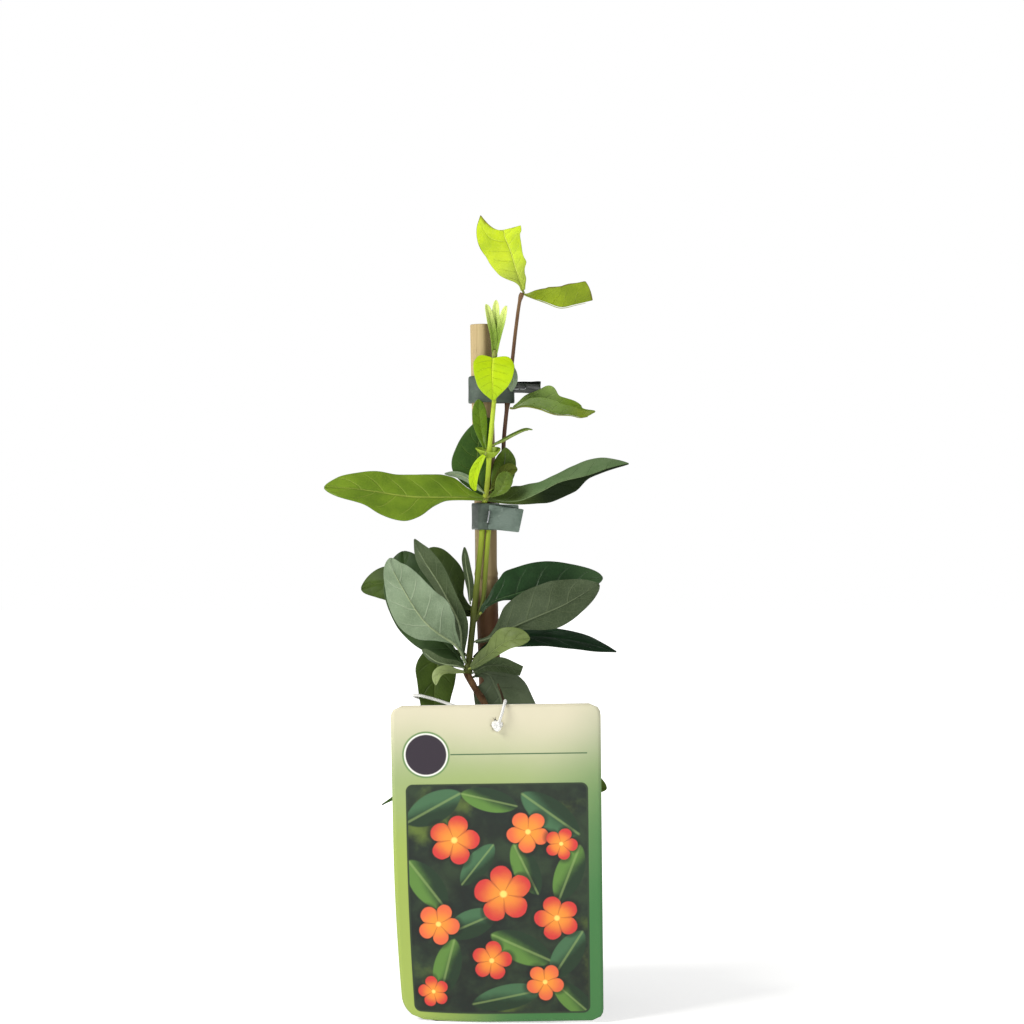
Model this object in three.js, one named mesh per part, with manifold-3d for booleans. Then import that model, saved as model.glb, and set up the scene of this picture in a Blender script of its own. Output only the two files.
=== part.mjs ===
// Young honeysuckle vine on a bamboo cane, in a square nursery pot with its hang label.
// Millimetres, +Z up, front towards -Y. The origin is the middle of the pot's flat underside.
import * as THREE from 'three';
import { mergeVertices } from 'three/addons/utils/BufferGeometryUtils.js';
import Module from 'manifold-3d';

const wasm = await Module();
wasm.setup();

// ---------------------------------------------------------------- driving dimensions
const GAP = 0.3;              // clearance between pieces that touch
const BLADE = 0.66;           // leaf thickness
const CANE_RADIUS = 4.5;
const CANE_BORE = { radius: 1.6, depth: 12 };
const CANE_NODE = { height: 176.1, swell: 0.45, reach: 2.4 };
const TAPE_WIDTH = 11;
const TAPE_THICK = 0.6;
const STAPLE_WIRE = 0.3;

const POT = {
  height: 78, top: 40, base: 29, wall: 1.3, floor: 1.6,
  rimOut: 1.6, rimHeight: 5, corner: 9, drain: 3.2, drainSpread: 17,
};
const SOIL = { top: 70, edge: 1.5, mound: 1.6, inset: 0.1, rings: [0.93, 0.7, 0.45, 0.2] };
const SOIL_STEM = { x: 4.5, y: -10, radius: 2.1, depth: 26 };
const CANE_FOOT = 12;         // height of the cane's lower end above the pot's underside
const CANE_HOLE = CANE_RADIUS + 0.5;

const LABEL = {
  width: 82, height: 128, thick: 0.7, corner: 4.5, cornerLow: 9,
  lean: 7.2, roll: 0.8, centre: [0.6, -40.75, 64.1], hole: 2.1, holeDown: 8.4,
  curl: 5, curlIn: 0.35, curlTop: 0.1,
};

// Leaves: rib runs from base to tip; left and right are half widths at equal steps along it, seen
// from the upper side with the tip away; face is where the upper side looks at the base and the tip.
// cup lifts the two halves towards the upper side, in degrees; wave is the margin's height and count;
// horn draws the two tip corners forward, heart the two base corners back; a blunt leaf keeps its full
// width to the end.
const LEAVES = {
  leaf_main_left: {
    rib: [[-5.6, -9, 208.2], [-10.5, -11.5, 208.4], [-18.9, -15, 208.4], [-26.9, -17, 208.5],
      [-35.7, -18.5, 208.9], [-50, -21, 211], [-60.8, -22.5, 212.3], [-69.2, -23, 212.3]],
    left: [1, 1.3, 1.4, 1.4, 4.4, 10.2, 13.3, 12.4, 10.7, 8, 6.8, 5.8, 3.5],
    right: [1.2, 4.2, 9.8, 10.8, 10.4, 10.2, 10.2, 9.7, 9.4, 8.8, 7.6, 6, 3.5],
    face: [[0, -0.87, 0.5], [0, -0.8, 0.6]], cup: [6, 6], wave: [0.6, 3], colour: 'yellowGreen',
  },
  leaf_main_right: {
    rib: [[-3.6, -9.3, 207.8], [3.3, -11.1, 206.9], [9.4, -11.4, 207.2], [17.5, -12, 210.8],
      [25.6, -11.5, 214.9], [37, -10, 217.5], [46, -7, 220.6], [53.9, -4, 222.5]],
    left: [1, 5.5, 8.4, 7.6, 5.6, 5.4, 7.7, 9.5, 10.2, 8.8, 4],
    right: [0.8, 0.9, 1.3, 3.6, 6.2, 6.6, 5.7, 1.2, 0.8, 0.8, 0.7],
    face: [[0, -0.97, 0.25], [0, -0.9, 0.43]], cup: [-30, -34], wave: [0.4, 2], colour: 'darkGreen',
  },
  leaf_front_left: {
    rib: [[-12.95, -11.15, 142.4], [-15.6, -14, 148], [-22.5, -16.5, 153.1], [-27.3, -18, 156.9],
      [-31.7, -19, 162.2], [-37.7, -20.5, 172.2], [-42, -21.5, 180.5], [-42.7, -22, 184.3]],
    left: [0.8, 0.8, 4, 9.6, 12, 12.3, 11, 9.7, 8.2, 6.8, 4.5],
    right: [0.8, 0.8, 0.9, 3.8, 8.4, 10.4, 10.4, 9.5, 7.4, 5.4, 3],
    face: [[0.25, 0.95, 0.1], [0.25, 0.95, 0.1]], cup: [7, 7], wave: [0.3, 3], colour: 'glaucous',
  },
  leaf_behind_left: {
    rib: [[-13.8, -8.5, 140.4], [-17.9, -6.5, 145.7], [-26.6, -2, 154.4], [-33.7, 1, 166.6],
      [-37.9, 4, 178.8], [-38.8, 6, 186.6]],
    left: [0.9, 4.6, 7.4, 10, 11.6, 11.6, 11, 8.6, 5],
    right: [0.9, 1.6, 2.8, 6.2, 9, 11.4, 12.4, 11, 6.5],
    face: [[-0.2, -0.95, 0.2], [-0.2, -0.95, 0.2]], cup: [5, 5], wave: [0.3, 2], colour: 'darkGreen',
  },
  leaf_tall_left: {
    rib: [[-13.9, -7, 145], [-14.8, -8.5, 156.5], [-19.4, -10.5, 166.7], [-23.9, -11, 174.8],
      [-27.9, -11, 180.9], [-31.2, -10, 186.3], [-33.4, -9, 191.8]],
    left: [0.9, 2.5, 4, 4.6, 5, 5.6, 6, 5, 1.6], right: [0.9, 3, 7, 6, 5, 5, 5, 4.4, 1.6],
    face: [[0.6, 0.78, 0.18], [0.6, 0.78, 0.18]], cup: [8, 8], wave: [0.3, 2], colour: 'greyGreen',
  },
  leaf_round_left: {
    rib: [[-10.85, -6.55, 163.4], [-13.9, -3, 165.8], [-17.7, 1, 170.7], [-21, 4, 177.6],
      [-24.8, 6, 183.7], [-28.1, 7, 187.8]],
    left: [1, 2.8, 4, 5.4, 6.8, 7.8, 8.2, 7.6, 5], right: [1, 1.2, 2.4, 4.9, 6.6, 6.6, 5.8, 4.8, 3],
    face: [[-0.1, -0.95, 0.3], [-0.1, -0.95, 0.3]], cup: [5, 5], wave: [0.3, 2], colour: 'olive',
  },
  leaf_far_left: {
    rib: [[-10.25, -6.35, 160.8], [-20, 5, 165.1], [-34, 13, 169.6], [-47.3, 18, 173.1],
      [-57.1, 22, 170.4]],
    left: [1, 5, 8.5, 9.4, 8.6, 7.6, 4], right: [1, 5, 9, 9.2, 9.6, 7.4, 3.5],
    face: [[-0.1, -0.9, 0.4], [-0.1, -0.9, 0.4]], cup: [6, 6], wave: [0.5, 2], colour: 'midGreen',
  },
  leaf_narrow_upright: {
    rib: [[-10.8, -6.2, 166.4], [-11.2, -5.2, 173.7], [-12.4, -5.4, 180.3], [-13.2, -5.6, 188.4]],
    left: [0.7, 1.6, 1.8, 1.8, 1.4, 0.9], right: [0.7, 1.3, 2, 1.8, 1.9, 1],
    face: [[0.3, 0.95, 0], [0.3, 0.95, 0]], cup: [10, 10], wave: [0, 1], colour: 'greyGreen',
  },
  leaf_hanging_left: {
    rib: [[-12.8, -6.6, 144.4], [-16.3, -3.6, 145], [-20.9, -1, 144.3], [-24.2, -1, 140.6],
      [-25.3, -2.6, 134.4], [-25.5, -4.6, 124], [-25.6, -6, 109]],
    left: [0.8, 1.6, 6, 8.4, 8.2, 6.8, 5.5, 4, 2], right: [0.9, 1.6, 6.4, 8.6, 7.2, 6.3, 5.2, 4, 2],
    face: [[0, -1, 0.1], [0, -1, 0.1]], cup: [4, 4], wave: [0.3, 2], colour: 'midGreen',
  },
  leaf_low_left: {
    rib: [[-13.5, -10.8, 139.8], [-16.5, -13.5, 141], [-20.5, -15, 141.5], [-25.3, -16, 143.2],
      [-30.1, -16.5, 147.3]],
    left: [0.7, 2.2, 2.5, 2.5, 1.6], right: [0.7, 2.2, 2.5, 2.5, 1.6],
    face: [[-0.2, 0.6, 0.75], [-0.2, 0.6, 0.75]], cup: [12, 12], wave: [0, 1], colour: 'greyGreen',
  },
  leaf_small_curled: {
    rib: [[-12.95, -11.95, 138], [-16.5, -14.5, 138.2], [-20.5, -17, 138.6], [-23.5, -19, 137.1],
      [-24.5, -19.5, 133.1]],
    left: [0.7, 1.6, 2.6, 2.8, 1.4], right: [0.7, 1.6, 2.6, 2.8, 1.4],
    face: [[0, -0.75, 0.66], [-0.7, -0.7, 0.3]], cup: [20, 20], wave: [0, 1], colour: 'lightGreen',
  },
  leaf_right_glossy: {
    rib: [[-6.4, -9.6, 162], [-4.4, -9.8, 164.5], [0.5, -9, 167.1], [5.3, -8, 168.5], [11.4, -6, 170.3],
      [20.4, -4.5, 172.5], [31.9, -2.5, 174.5], [43.4, -1, 175.7]],
    left: [0.9, 2.5, 7.5, 10.8, 11.2, 11.4, 10.6, 9, 7.2, 5.6, 4],
    right: [0.8, 0.9, 1, 2.5, 5.5, 7, 7, 6.5, 5.5, 4.5, 3],
    face: [[0, -0.9, 0.43], [0, -0.9, 0.43]], cup: [5, -10], wave: [0.4, 2], colour: 'darkGreen',
  },
  leaf_right_underside: {
    rib: [[-8.7, -9.8, 150], [-3.3, -11.5, 151.2], [1.7, -13, 153.5], [8, -14.5, 156.7],
      [17.3, -16, 160.8], [26.6, -17, 164.9], [35.9, -17, 170.3], [41.4, -17, 173.5]],
    left: [0.8, 1, 1.2, 1.6, 3.4, 6, 7.4, 7, 6, 5, 3.4],
    right: [0.8, 1.2, 4.3, 9.3, 11.3, 12.1, 12, 11.5, 9.4, 6.8, 3.4],
    face: [[0, 0.95, -0.2], [0, 0.95, -0.2]], cup: [5, 5], wave: [0.3, 2], colour: 'greyGreen',
  },
  leaf_right_low: {
    rib: [[-9.4, -9, 143.5], [-3.5, -8, 147.6], [3.5, -7, 151.1], [17.5, -5, 151.8], [34, -3, 149.6],
      [49, -1, 145.4]],
    left: [0.9, 3, 5.4, 6.4, 6, 4.8, 1.2], right: [0.9, 3, 6, 6, 5.6, 4, 1.2],
    face: [[0, -0.56, 0.83], [0, -0.5, 0.87]], cup: [6, -8], wave: [0.2, 2], colour: 'darkGreen',
  },
  leaf_front_small: {
    rib: [[-10.7, -12.05, 139.6], [-7.6, -13.5, 141.7], [-2.6, -17, 145.7], [1.3, -19, 148.8],
      [5.7, -21.5, 151.5], [13.4, -23, 152]],
    left: [1, 3, 3.6, 3.8, 5.4, 6.1, 5.2, 4.4, 2.6], right: [1, 1.8, 2.3, 2.7, 3.5, 4, 4.2, 3.8, 2.6],
    face: [[-0.2, -0.9, 0.4], [-0.1, -0.9, 0.4]], cup: [5, 12], wave: [0.3, 2], colour: 'lightGreen',
  },
  leaf_right_behind: {
    rib: [[-9.5, -10.4, 137.8], [-4.4, -10.5, 140.6], [2.1, -10.3, 140.6], [10.2, -9.7, 138.3]],
    left: [2.1, 3.4, 4.2, 4.4, 4, 3.3], right: [1.8, 2.4, 3.3, 3.7, 3, 2.2],
    face: [[0, 0.8, 0.6], [0, 0.8, 0.6]], cup: [5, 5], wave: [0.2, 2], blunt: true, colour: 'greyGreen',
  },
  leaf_hanging_right: {
    rib: [[-8.8, -7.8, 136], [-6.4, -7.2, 137.2], [-3.2, -6.8, 136.3], [-0.8, -6.6, 131.8],
      [2.1, -6.4, 124.9], [4.5, -6.4, 115.9], [6.2, -6.4, 104]],
    left: [0.9, 4, 9.5, 12, 12.6, 13.4, 12.5, 9, 3], right: [0.9, 3, 9.2, 10.7, 11.3, 11.2, 9.6, 7.4, 3],
    face: [[0, -0.95, 0.3], [0, -1, 0.1]], cup: [4, 4], wave: [0.3, 2], colour: 'deepGrey',
  },
  leaf_top: {
    rib: [[10.6, -0.4, 293.55], [8.8, -2, 298.9], [7.1, -3.5, 304.5], [5.3, -5, 310.2],
      [3.4, -5.4, 314.6], [2.7, -5.2, 317.9]],
    left: [0.9, 0.9, 2.2, 5, 7.4, 8.5, 9.5, 10.3, 10.8, 11.5, 11.8, 11, 8.2],
    right: [1, 1.9, 2.9, 3, 3.6, 5, 4.4, 4.4, 4.9, 5.6, 6.3, 7.1, 7.3],
    face: [[0, -1, 0.1], [0, -0.9, 0.4]], cup: [8, 8], wave: [0.5, 2], horn: [8, 0.3], blunt: true,
    colour: 'lime',
  },
  leaf_top_right: {
    rib: [[11.4, -0.2, 292.1], [14.2, -1.4, 290.8], [20, -3.4, 288.5], [26.1, -5, 286.2],
      [31.4, -5, 287.2], [39.2, -4, 289.1]],
    left: [0.8, 5.6, 8.4, 10.6, 9.1, 9.3, 9], right: [0.8, 4.8, 6.4, 9.4, 9.1, 9.3, 9],
    face: [[0, 0, 1], [0, 0, 1]], cup: [62, 66], wave: [0.4, 3], horn: [-1.8, -1.8], blunt: true,
    colour: 'lime',
  },
  leaf_upper_right: {
    rib: [[6.4, -0.9, 245.6], [11, -3.6, 246.4], [17.6, -5.4, 245.1], [23.7, -5, 242.9],
      [29.8, -5, 242.5], [35.5, -4.5, 241.5], [40.2, -3.5, 243.8]],
    left: [0.8, 4.6, 6.4, 10.8, 8.6, 7.2, 5.6, 4.5, 1.5], right: [0.8, 3.6, 6.6, 9, 8, 6, 5, 4, 1.2],
    face: [[0, -0.62, 0.78], [0, -0.3, 0.95]], cup: [45, 62], wave: [0.3, 2], colour: 'midGreen',
  },
  leaf_disc_front: {
    rib: [[-1.5, -12.2, 265], [-1.8, -14.2, 260.1], [-1.7, -14.4, 254.1], [-1.5, -13, 248]],
    left: [7.4, 8.9, 8.9, 8.2, 6.6, 3.7, 0.5], right: [6.8, 7.9, 7.7, 7, 6.1, 3.8, 0.5],
    face: [[0, -0.9, 0.4], [0, -1, 0]], cup: [6, 6], wave: [0, 1], heart: 1.8, blunt: true,
    colour: 'brightLime',
  },
  leaf_disc_back: {
    rib: [[0.9, -10.4, 264.4], [4.4, -10.8, 261.6], [6.2, -11, 257.4], [5.9, -10.6, 251.6]],
    left: [0.8, 2.2, 2.8, 2.4, 1], right: [0.8, 2.2, 2.8, 2.4, 1],
    face: [[-0.4, 0.9, 0], [-0.4, 0.9, 0]], cup: [8, 8], wave: [0, 1], colour: 'glaucous',
  },
  leaf_oval_small: {
    rib: [[-4.7, -11, 228.4], [-5.7, -8.6, 232.1], [-6.8, -7.7, 238.6], [-7.5, -7.7, 248.6]],
    left: [0.7, 1.8, 2.9, 3, 1.8], right: [0.7, 1.8, 2.9, 3, 1.8],
    face: [[0, -1, 0], [0, -1, 0]], cup: [4, 4], wave: [0, 1], colour: 'midGreen',
  },
  leaf_oval_large: {
    rib: [[-6.2, -6.2, 209.4], [-7, -6.2, 216.6], [-8, -6.2, 224.6], [-7, -6.2, 233.1], [-3, -6, 241.1]],
    left: [0.9, 8, 10.8, 8.6, 5.4, 3], right: [0.9, 3.5, 5, 6, 5, 1.5],
    face: [[0, -1, 0.05], [0, -1, 0.05]], cup: [0, 0], wave: [0, 1], colour: 'deepGreen',
  },
  leaf_back_right: {
    rib: [[-1.8, -7.3, 210.4], [1, -6, 215.1], [3, -4.4, 222.1], [3.5, -3.6, 229.1]],
    left: [0.8, 4, 5.2, 4.6, 2], right: [0.8, 3.5, 4.5, 4, 1.2],
    face: [[0, 0.95, 0.2], [0, 0.95, 0.2]], cup: [4, 4], wave: [0, 1], colour: 'greyGreen',
  },
  leaf_olive: {
    rib: [[-2, -9.2, 212.4], [1.5, -8.4, 216.4], [4.5, -7.8, 219.6], [8.4, -7.6, 220.2]],
    left: [0.7, 2, 3, 3, 1.8], right: [0.7, 2, 3.2, 3.2, 1.8],
    face: [[0, -1, 0.3], [0, -1, 0.3]], cup: [10, 10], wave: [0, 1], colour: 'olive',
  },
  leaf_spoon: {
    rib: [[-2.9, -10.6, 209.1], [0.5, -12.6, 211], [3, -13.4, 214.6], [4, -13.6, 219.1]],
    left: [0.7, 1.4, 3.2, 3.6, 2.6], right: [0.7, 1.4, 3, 3.4, 2.6],
    face: [[0, -1, 0.1], [0, -1, 0.1]], cup: [12, 12], wave: [0, 1], colour: 'lightGreen',
  },
  leaf_lime_crescent: {
    rib: [[-5, -16.3, 225.7], [-7.2, -16.2, 222.4], [-9, -15.6, 218.2], [-9.4, -15, 214.6],
      [-8.6, -14.4, 211.2]],
    left: [0.8, 1.7, 2.1, 2.2, 1.8, 0.9], right: [0.8, 1.7, 2.1, 2.2, 1.8, 0.9],
    face: [[-0.3, -0.9, 0.2], [-0.3, -0.9, 0.2]], cup: [10, 10], wave: [0, 1], colour: 'brightLime',
  },
  leaf_thin_right: {
    rib: [[-1.2, -12.2, 230.4], [2.5, -12.4, 231.8], [7, -12.6, 234.1], [12, -13, 236.1],
      [14.5, -13, 236.1]],
    left: [0.7, 1.7, 2, 1.8, 0.7], right: [0.7, 1.7, 2, 1.8, 0.7],
    face: [[-0.4, -0.25, 0.9], [-0.3, -0.25, 0.9]], cup: [12, 12], wave: [0, 1], colour: 'midGreen',
  },
  leaf_edge_left: {
    rib: [[-6.1, -8.5, 211.2], [-8.8, -7.9, 213.6], [-12.2, -7.6, 216.4], [-16.5, -7.5, 218],
      [-21.3, -7.4, 218.3]],
    left: [0.6, 1.2, 1.5, 1.3, 0.7], right: [0.6, 1.2, 1.5, 1.3, 0.7],
    face: [[0, 1, -0.1], [0, 1, -0.1]], cup: [4, 4], wave: [0, 1], colour: 'glaucous',
  },
  leaf_label_left: {
    rib: [[1.75, -13.6, 89.4], [-14, -21, 96.6], [-31, -27, 93.6], [-45.6, -30, 86.2]],
    left: [0.9, 4.5, 6.5, 4.5, 0.7], right: [0.9, 4.5, 6.5, 4.5, 0.7],
    face: [[0, -0.3, 0.95], [-0.1, -0.2, 0.97]], cup: [8, 8], wave: [0.4, 2], colour: 'deepGreen',
  },
  leaf_label_right: {
    rib: [[5.7, -12.3, 86.6], [21, -20, 94.6], [34, -25, 95], [43.9, -29, 92.4]],
    left: [0.9, 4.5, 7, 6, 3], right: [0.9, 4.5, 7, 6, 3],
    face: [[0.1, -0.3, 0.95], [0.1, -0.9, 0.4]], cup: [5, 5], wave: [0.3, 2], colour: 'greyGreen',
  },
};

// Stems: path points with the radius at each end.
const STEMS = {
  woody: [[-11.6, -10, 136.1], [-8.9, -10.8, 131.3], [-5.6, -11.6, 126.1], [-2, -12.4, 117.6],
    [3, -12.2, 93.6], [4.5, -10, 71.6], [4.5, -10, 45.6]],
  main: [[-11.9, -10, 137.1], [-10, -8.7, 155.1], [-8.5, -7.5, 173.6], [-6.7, -6.6, 189.1],
    [-5.7, -6.5, 200.6], [-5, -6.8, 206.6], [-4.2, -8.4, 211.6], [-3.5, -10.6, 218.6],
    [-3, -12, 227.6], [-2, -12, 238.1],
    [-1, -11.2, 250.1], [-1, -10, 264.9]],
  side: [[-9.4, -8.4, 158.1], [-6.5, -7.6, 163.1], [-5, -7, 167.1], [-3.8, -6.5, 179.1],
    [-3, -6.4, 191.1], [-2.9, -6.4, 199.6]],
  red: [[-2.9, -6.4, 200], [-2.8, -6.4, 206.8], [-1.4, -5.4, 210.6], [1, -3, 216.1], [2.5, -1.2, 224.1],
    [3, -0.5, 232.1], [4.4, 0, 246.6], [5.6, 0.5, 263.1], [7.4, 1, 277.6], [9.4, 0.4, 289.6],
    [10.3, 0, 292.6]],
  stub: [[1.2, -12.4, 105.6], [3, -13.6, 117.6], [2.9, -14.2, 125.6], [1.9, -14.4, 129.2],
    [0.4, -14.6, 133.3]],
  cane: [[-6.5, 0, 279.6], [-6, 0, 252.6], [-4.6, 0, 194.6], [-4.4, 0, 176.1], [-3.5, 0, 150.1],
    [-1.5, 0, 70.1], [-0.6, 0, CANE_FOOT]],
};
const STEM_RADIUS = {
  woody: [1.35, 1.9], main: [1.35, 0.85], side: [0.95, 1], red: [0.95, 0.7], stub: [0.95, 0.35],
};

// Young leaves of the shoot tip, closed up against each other.
const SHOOT = {
  base: [-0.9, -10, 266.3],
  bud: 1.15,
  blades: [
    { rib: [[-1, -10, 266.2], [-1.7, -10.8, 274.6], [-3, -11.2, 281], [-4.4, -11.4, 287]],
      half: [0.9, 1.7, 2, 1.6], face: [0.5, -0.85, 0] },
    { rib: [[-0.9, -9.6, 266.2], [-0.7, -9.6, 276.6], [-0.3, -10.2, 288.8]], half: [0.9, 1.8, 1.9, 1.4],
      face: [0, -1, 0.1] },
    { rib: [[-0.8, -10.2, 266.2], [1, -10.4, 274.6], [2.6, -10.6, 281], [3.9, -10.8, 286.4]],
      half: [0.9, 1.7, 1.9, 1.4], face: [-0.5, -0.85, 0] },
  ],
};

const COLLAR = { centre: [-3.25, -11.9, 228.2], rim: 4.6, throat: 2.2, height: 3.2, tilt: [14, 3] };

const STRING = {
  radius: 0.6, sides: 6, steps: 64,
  route: [[0.5, -47.6, 119.2], [1, -49.9, 120.6], [2.2, -50.6, 124.2], [3.2, -50.2, 128], [3.5, -48.6, 129.1],
    [3.4, -46.6, 127.8], [1, -40, 124.2], [-6, -28, 123], [-14, -16, 123.6], [-19.8, -9.4, 124.8],
    [-25.5, -7.8, 126.5], [-31.6, -7.6, 128], [-34.1, -4.8, 127.8], [-31.6, -1.6, 126.4], [-24, -1.4, 123.4],
    [-17.2, -3.6, 122.2], [-12.5, -8, 121.4], [-8, -9.7, 121], [-2.6, -9.5, 120.6], [0.3, -12.4, 120.4],
    [0.7, -22, 120], [0.6, -38, 119.3]],
};

const COLOURS = {
  yellowGreen: 0x6f8f2a, darkGreen: 0x1f4a33, glaucous: 0x84958a, greyGreen: 0x5c6b4c, olive: 0x4f6128,
  midGreen: 0x4b7526, deepGreen: 0x1e3f18, deepGrey: 0x3f5446, lightGreen: 0x7f9a55, lime: 0x9dbb2c,
  brightLime: 0xc3e01b,
};

// ---------------------------------------------------------------- helpers
const V = (p) => new THREE.Vector3(...p);
const lerp = THREE.MathUtils.lerp;
const rad = THREE.MathUtils.degToRad;

function spline(values, t) {
  // smooth reading of a short list of values, t from 0 to 1
  const points = values.map((value, i) => new THREE.Vector3(i, value, 0));
  return new THREE.CatmullRomCurve3(points, false, 'centripetal').getPoint(t).y;
}

function meshGeometry(positions, indices) {
  const geometry = new THREE.BufferGeometry();
  geometry.setAttribute('position', new THREE.Float32BufferAttribute(positions, 3));
  geometry.setIndex(indices);
  return geometry;
}

function toSolid(geometry) {
  const bare = geometry.clone();
  for (const name of Object.keys(bare.attributes)) {
    if (name !== 'position') bare.deleteAttribute(name);
  }
  const merged = mergeVertices(bare, 1e-4);
  const solid = new wasm.Manifold(new wasm.Mesh({
    numProp: 3,
    vertProperties: new Float32Array(merged.attributes.position.array),
    triVerts: new Uint32Array(merged.index.array),
  }));
  return solid;
}

function fromSolid(solid) {
  const mesh = solid.getMesh();
  return meshGeometry(Array.from(mesh.vertProperties), Array.from(mesh.triVerts));
}

function material(colour, roughness = 0.6, metalness = 0) {
  return new THREE.MeshStandardMaterial({ color: colour, roughness, metalness });
}

const plant = new THREE.Group();

function addPiece(name, geometry, surface) {
  const mesh = new THREE.Mesh(geometry, surface);
  mesh.name = name;
  plant.add(mesh);
  return mesh;
}

// A closed skin through rings of points, each with the same count; both ends are capped flat.
function loft(rings) {
  const count = rings[0].length;
  const positions = rings.flat().flatMap((p) => [p.x, p.y, p.z]);
  const indices = [];
  for (let r = 0; r < rings.length - 1; r++) {
    for (let i = 0; i < count; i++) {
      const a = r * count + i;
      const b = r * count + (i + 1) % count;
      indices.push(a, b, a + count, b, b + count, a + count);
    }
  }
  for (const [ring, out] of [[0, false], [rings.length - 1, true]]) {
    const middle = new THREE.Vector3();
    rings[ring].forEach((p) => middle.addScaledVector(p, 1 / count));
    const centre = positions.length / 3;
    positions.push(middle.x, middle.y, middle.z);
    for (let i = 0; i < count; i++) {
      const a = ring * count + i;
      const b = ring * count + (i + 1) % count;
      indices.push(...(out ? [a, b, centre] : [b, a, centre]));
    }
  }
  return meshGeometry(positions, indices);
}

// Rings square to a curve, without twist from step to step.
function tubeRings(curve, steps, sides, radiusAt, closed = false) {
  const frames = curve.computeFrenetFrames(steps, closed);
  const rings = [];
  for (let s = 0; s <= steps; s++) {
    const t = s / steps;
    const centre = curve.getPointAt(t);
    const radius = radiusAt(t);
    const ring = [];
    for (let i = 0; i < sides; i++) {
      const angle = (2 * Math.PI * i) / sides;
      ring.push(centre.clone()
        .addScaledVector(frames.normals[s], radius * Math.cos(angle))
        .addScaledVector(frames.binormals[s], radius * Math.sin(angle)));
    }
    rings.push(ring);
  }
  return rings;
}

function tube(points, radii, steps, sides = 8, swellAt = []) {
  const curve = new THREE.CatmullRomCurve3(points.map(V));
  const length = curve.getLength();
  const radiusAt = (t) => {
    let radius = lerp(radii[0], radii[1], t);
    for (const [place, extra, reach] of swellAt) {
      radius += extra * Math.exp(-((((t - place) * length) / reach) ** 2));
    }
    return radius;
  };
  return loft(tubeRings(curve, steps, sides, radiusAt));
}

// ---------------------------------------------------------------- leaves
function bladeGrid(leaf, along, across) {
  const curve = new THREE.CatmullRomCurve3(leaf.rib.map(V));
  const faces = leaf.face.map(V);
  const rows = [];
  for (let i = 0; i <= along; i++) {
    const t = 0.5 * i / along + 0.25 * (1 - Math.cos(Math.PI * i / along));
    const centre = curve.getPointAt(t);
    const forward = curve.getTangentAt(t);
    const look = faces[0].clone().lerp(faces[1], t).normalize();
    const side = forward.clone().cross(look).normalize();
    const up = side.clone().cross(forward).normalize();
    const roundEnd = leaf.blunt ? 1 : Math.sqrt(1 - 0.96 * t ** 14);
    const row = [];
    for (let j = 0; j <= across; j++) {
      const v = (2 * j) / across - 1;
      const right = v > 0;
      const half = Math.max(0.45, spline(right ? leaf.right : leaf.left, t) * roundEnd);
      const bend = rad(leaf.cup[right ? 1 : 0]) * Math.min(1, 4 * t);
      const reach = Math.abs(v) * half;
      const swing = Math.sin(Math.PI * leaf.wave[1] * 2 * t + v) * Math.sin(Math.PI * t);
      const ripple = leaf.wave[0] * swing * v * v;
      const horn = leaf.horn ? leaf.horn[right ? 1 : 0] * Math.abs(v) ** 2.5 * t ** 6 : 0;
      const lobe = (leaf.heart ?? 0) * Math.abs(v) ** 0.7 * (1 - Math.abs(v) ** 5) * (1 - t) ** 4;
      row.push(centre.clone()
        .addScaledVector(side, Math.sign(v) * reach * Math.cos(bend))
        .addScaledVector(up, reach * Math.sin(bend) + ripple)
        .addScaledVector(forward, horn - lobe));
    }
    rows.push(row);
  }
  return rows;
}

// Both faces of the blade share one triangle pattern, so the thin sheet never crosses itself.
function sheet(rows, thick) {
  const along = rows.length - 1;
  const across = rows[0].length - 1;
  const at = (i, j) => rows[Math.min(Math.max(i, 0), along)][Math.min(Math.max(j, 0), across)];
  const faces = [[], []];
  for (let i = 0; i <= along; i++) {
    for (let j = 0; j <= across; j++) {
      const forward = at(i + 1, j).clone().sub(at(i - 1, j));
      const side = at(i, j + 1).clone().sub(at(i, j - 1));
      const normal = side.cross(forward).normalize();
      faces[0].push(at(i, j).clone().addScaledVector(normal, thick / 2));
      faces[1].push(at(i, j).clone().addScaledVector(normal, -thick / 2));
    }
  }
  const positions = faces.flat().flatMap((p) => [p.x, p.y, p.z]);
  const indices = [];
  const under = faces[0].length;
  const id = (i, j) => i * (across + 1) + j;
  for (let i = 0; i < along; i++) {
    for (let j = 0; j < across; j++) {
      const [a, b, c, d] = [id(i, j), id(i, j + 1), id(i + 1, j + 1), id(i + 1, j)];
      const corners = j < across / 2 ? [[a, b, c], [a, c, d]] : [[a, b, d], [b, c, d]];
      for (const [p, q, r] of corners) {
        indices.push(p, q, r, under + p, under + r, under + q);
      }
    }
  }
  const rim = [];
  for (let j = 0; j < across; j++) rim.push(id(0, j));
  for (let i = 0; i < along; i++) rim.push(id(i, across));
  for (let j = across; j > 0; j--) rim.push(id(along, j));
  for (let i = along; i > 0; i--) rim.push(id(i, 0));
  rim.forEach((a, k) => {
    const b = rim[(k + 1) % rim.length];
    indices.push(a, under + a, b, b, under + a, under + b);
  });
  return meshGeometry(positions, indices);
}

for (const [name, leaf] of Object.entries(LEAVES)) {
  const small = V(leaf.rib[0]).distanceTo(V(leaf.rib.at(-1))) < 25;
  const rows = bladeGrid(leaf, small ? 6 : 13, small ? 4 : 6);
  addPiece(name, sheet(rows, BLADE), material(COLOURS[leaf.colour]));
}

// ---------------------------------------------------------------- stems
const woody = toSolid(tube(STEMS.woody, STEM_RADIUS.woody, 14, 8));
const stub = toSolid(tube(STEMS.stub, STEM_RADIUS.stub, 6, 6));
addPiece('stem_woody', fromSolid(woody.add(stub)), material(0x6b4a3a, 0.85));

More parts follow.
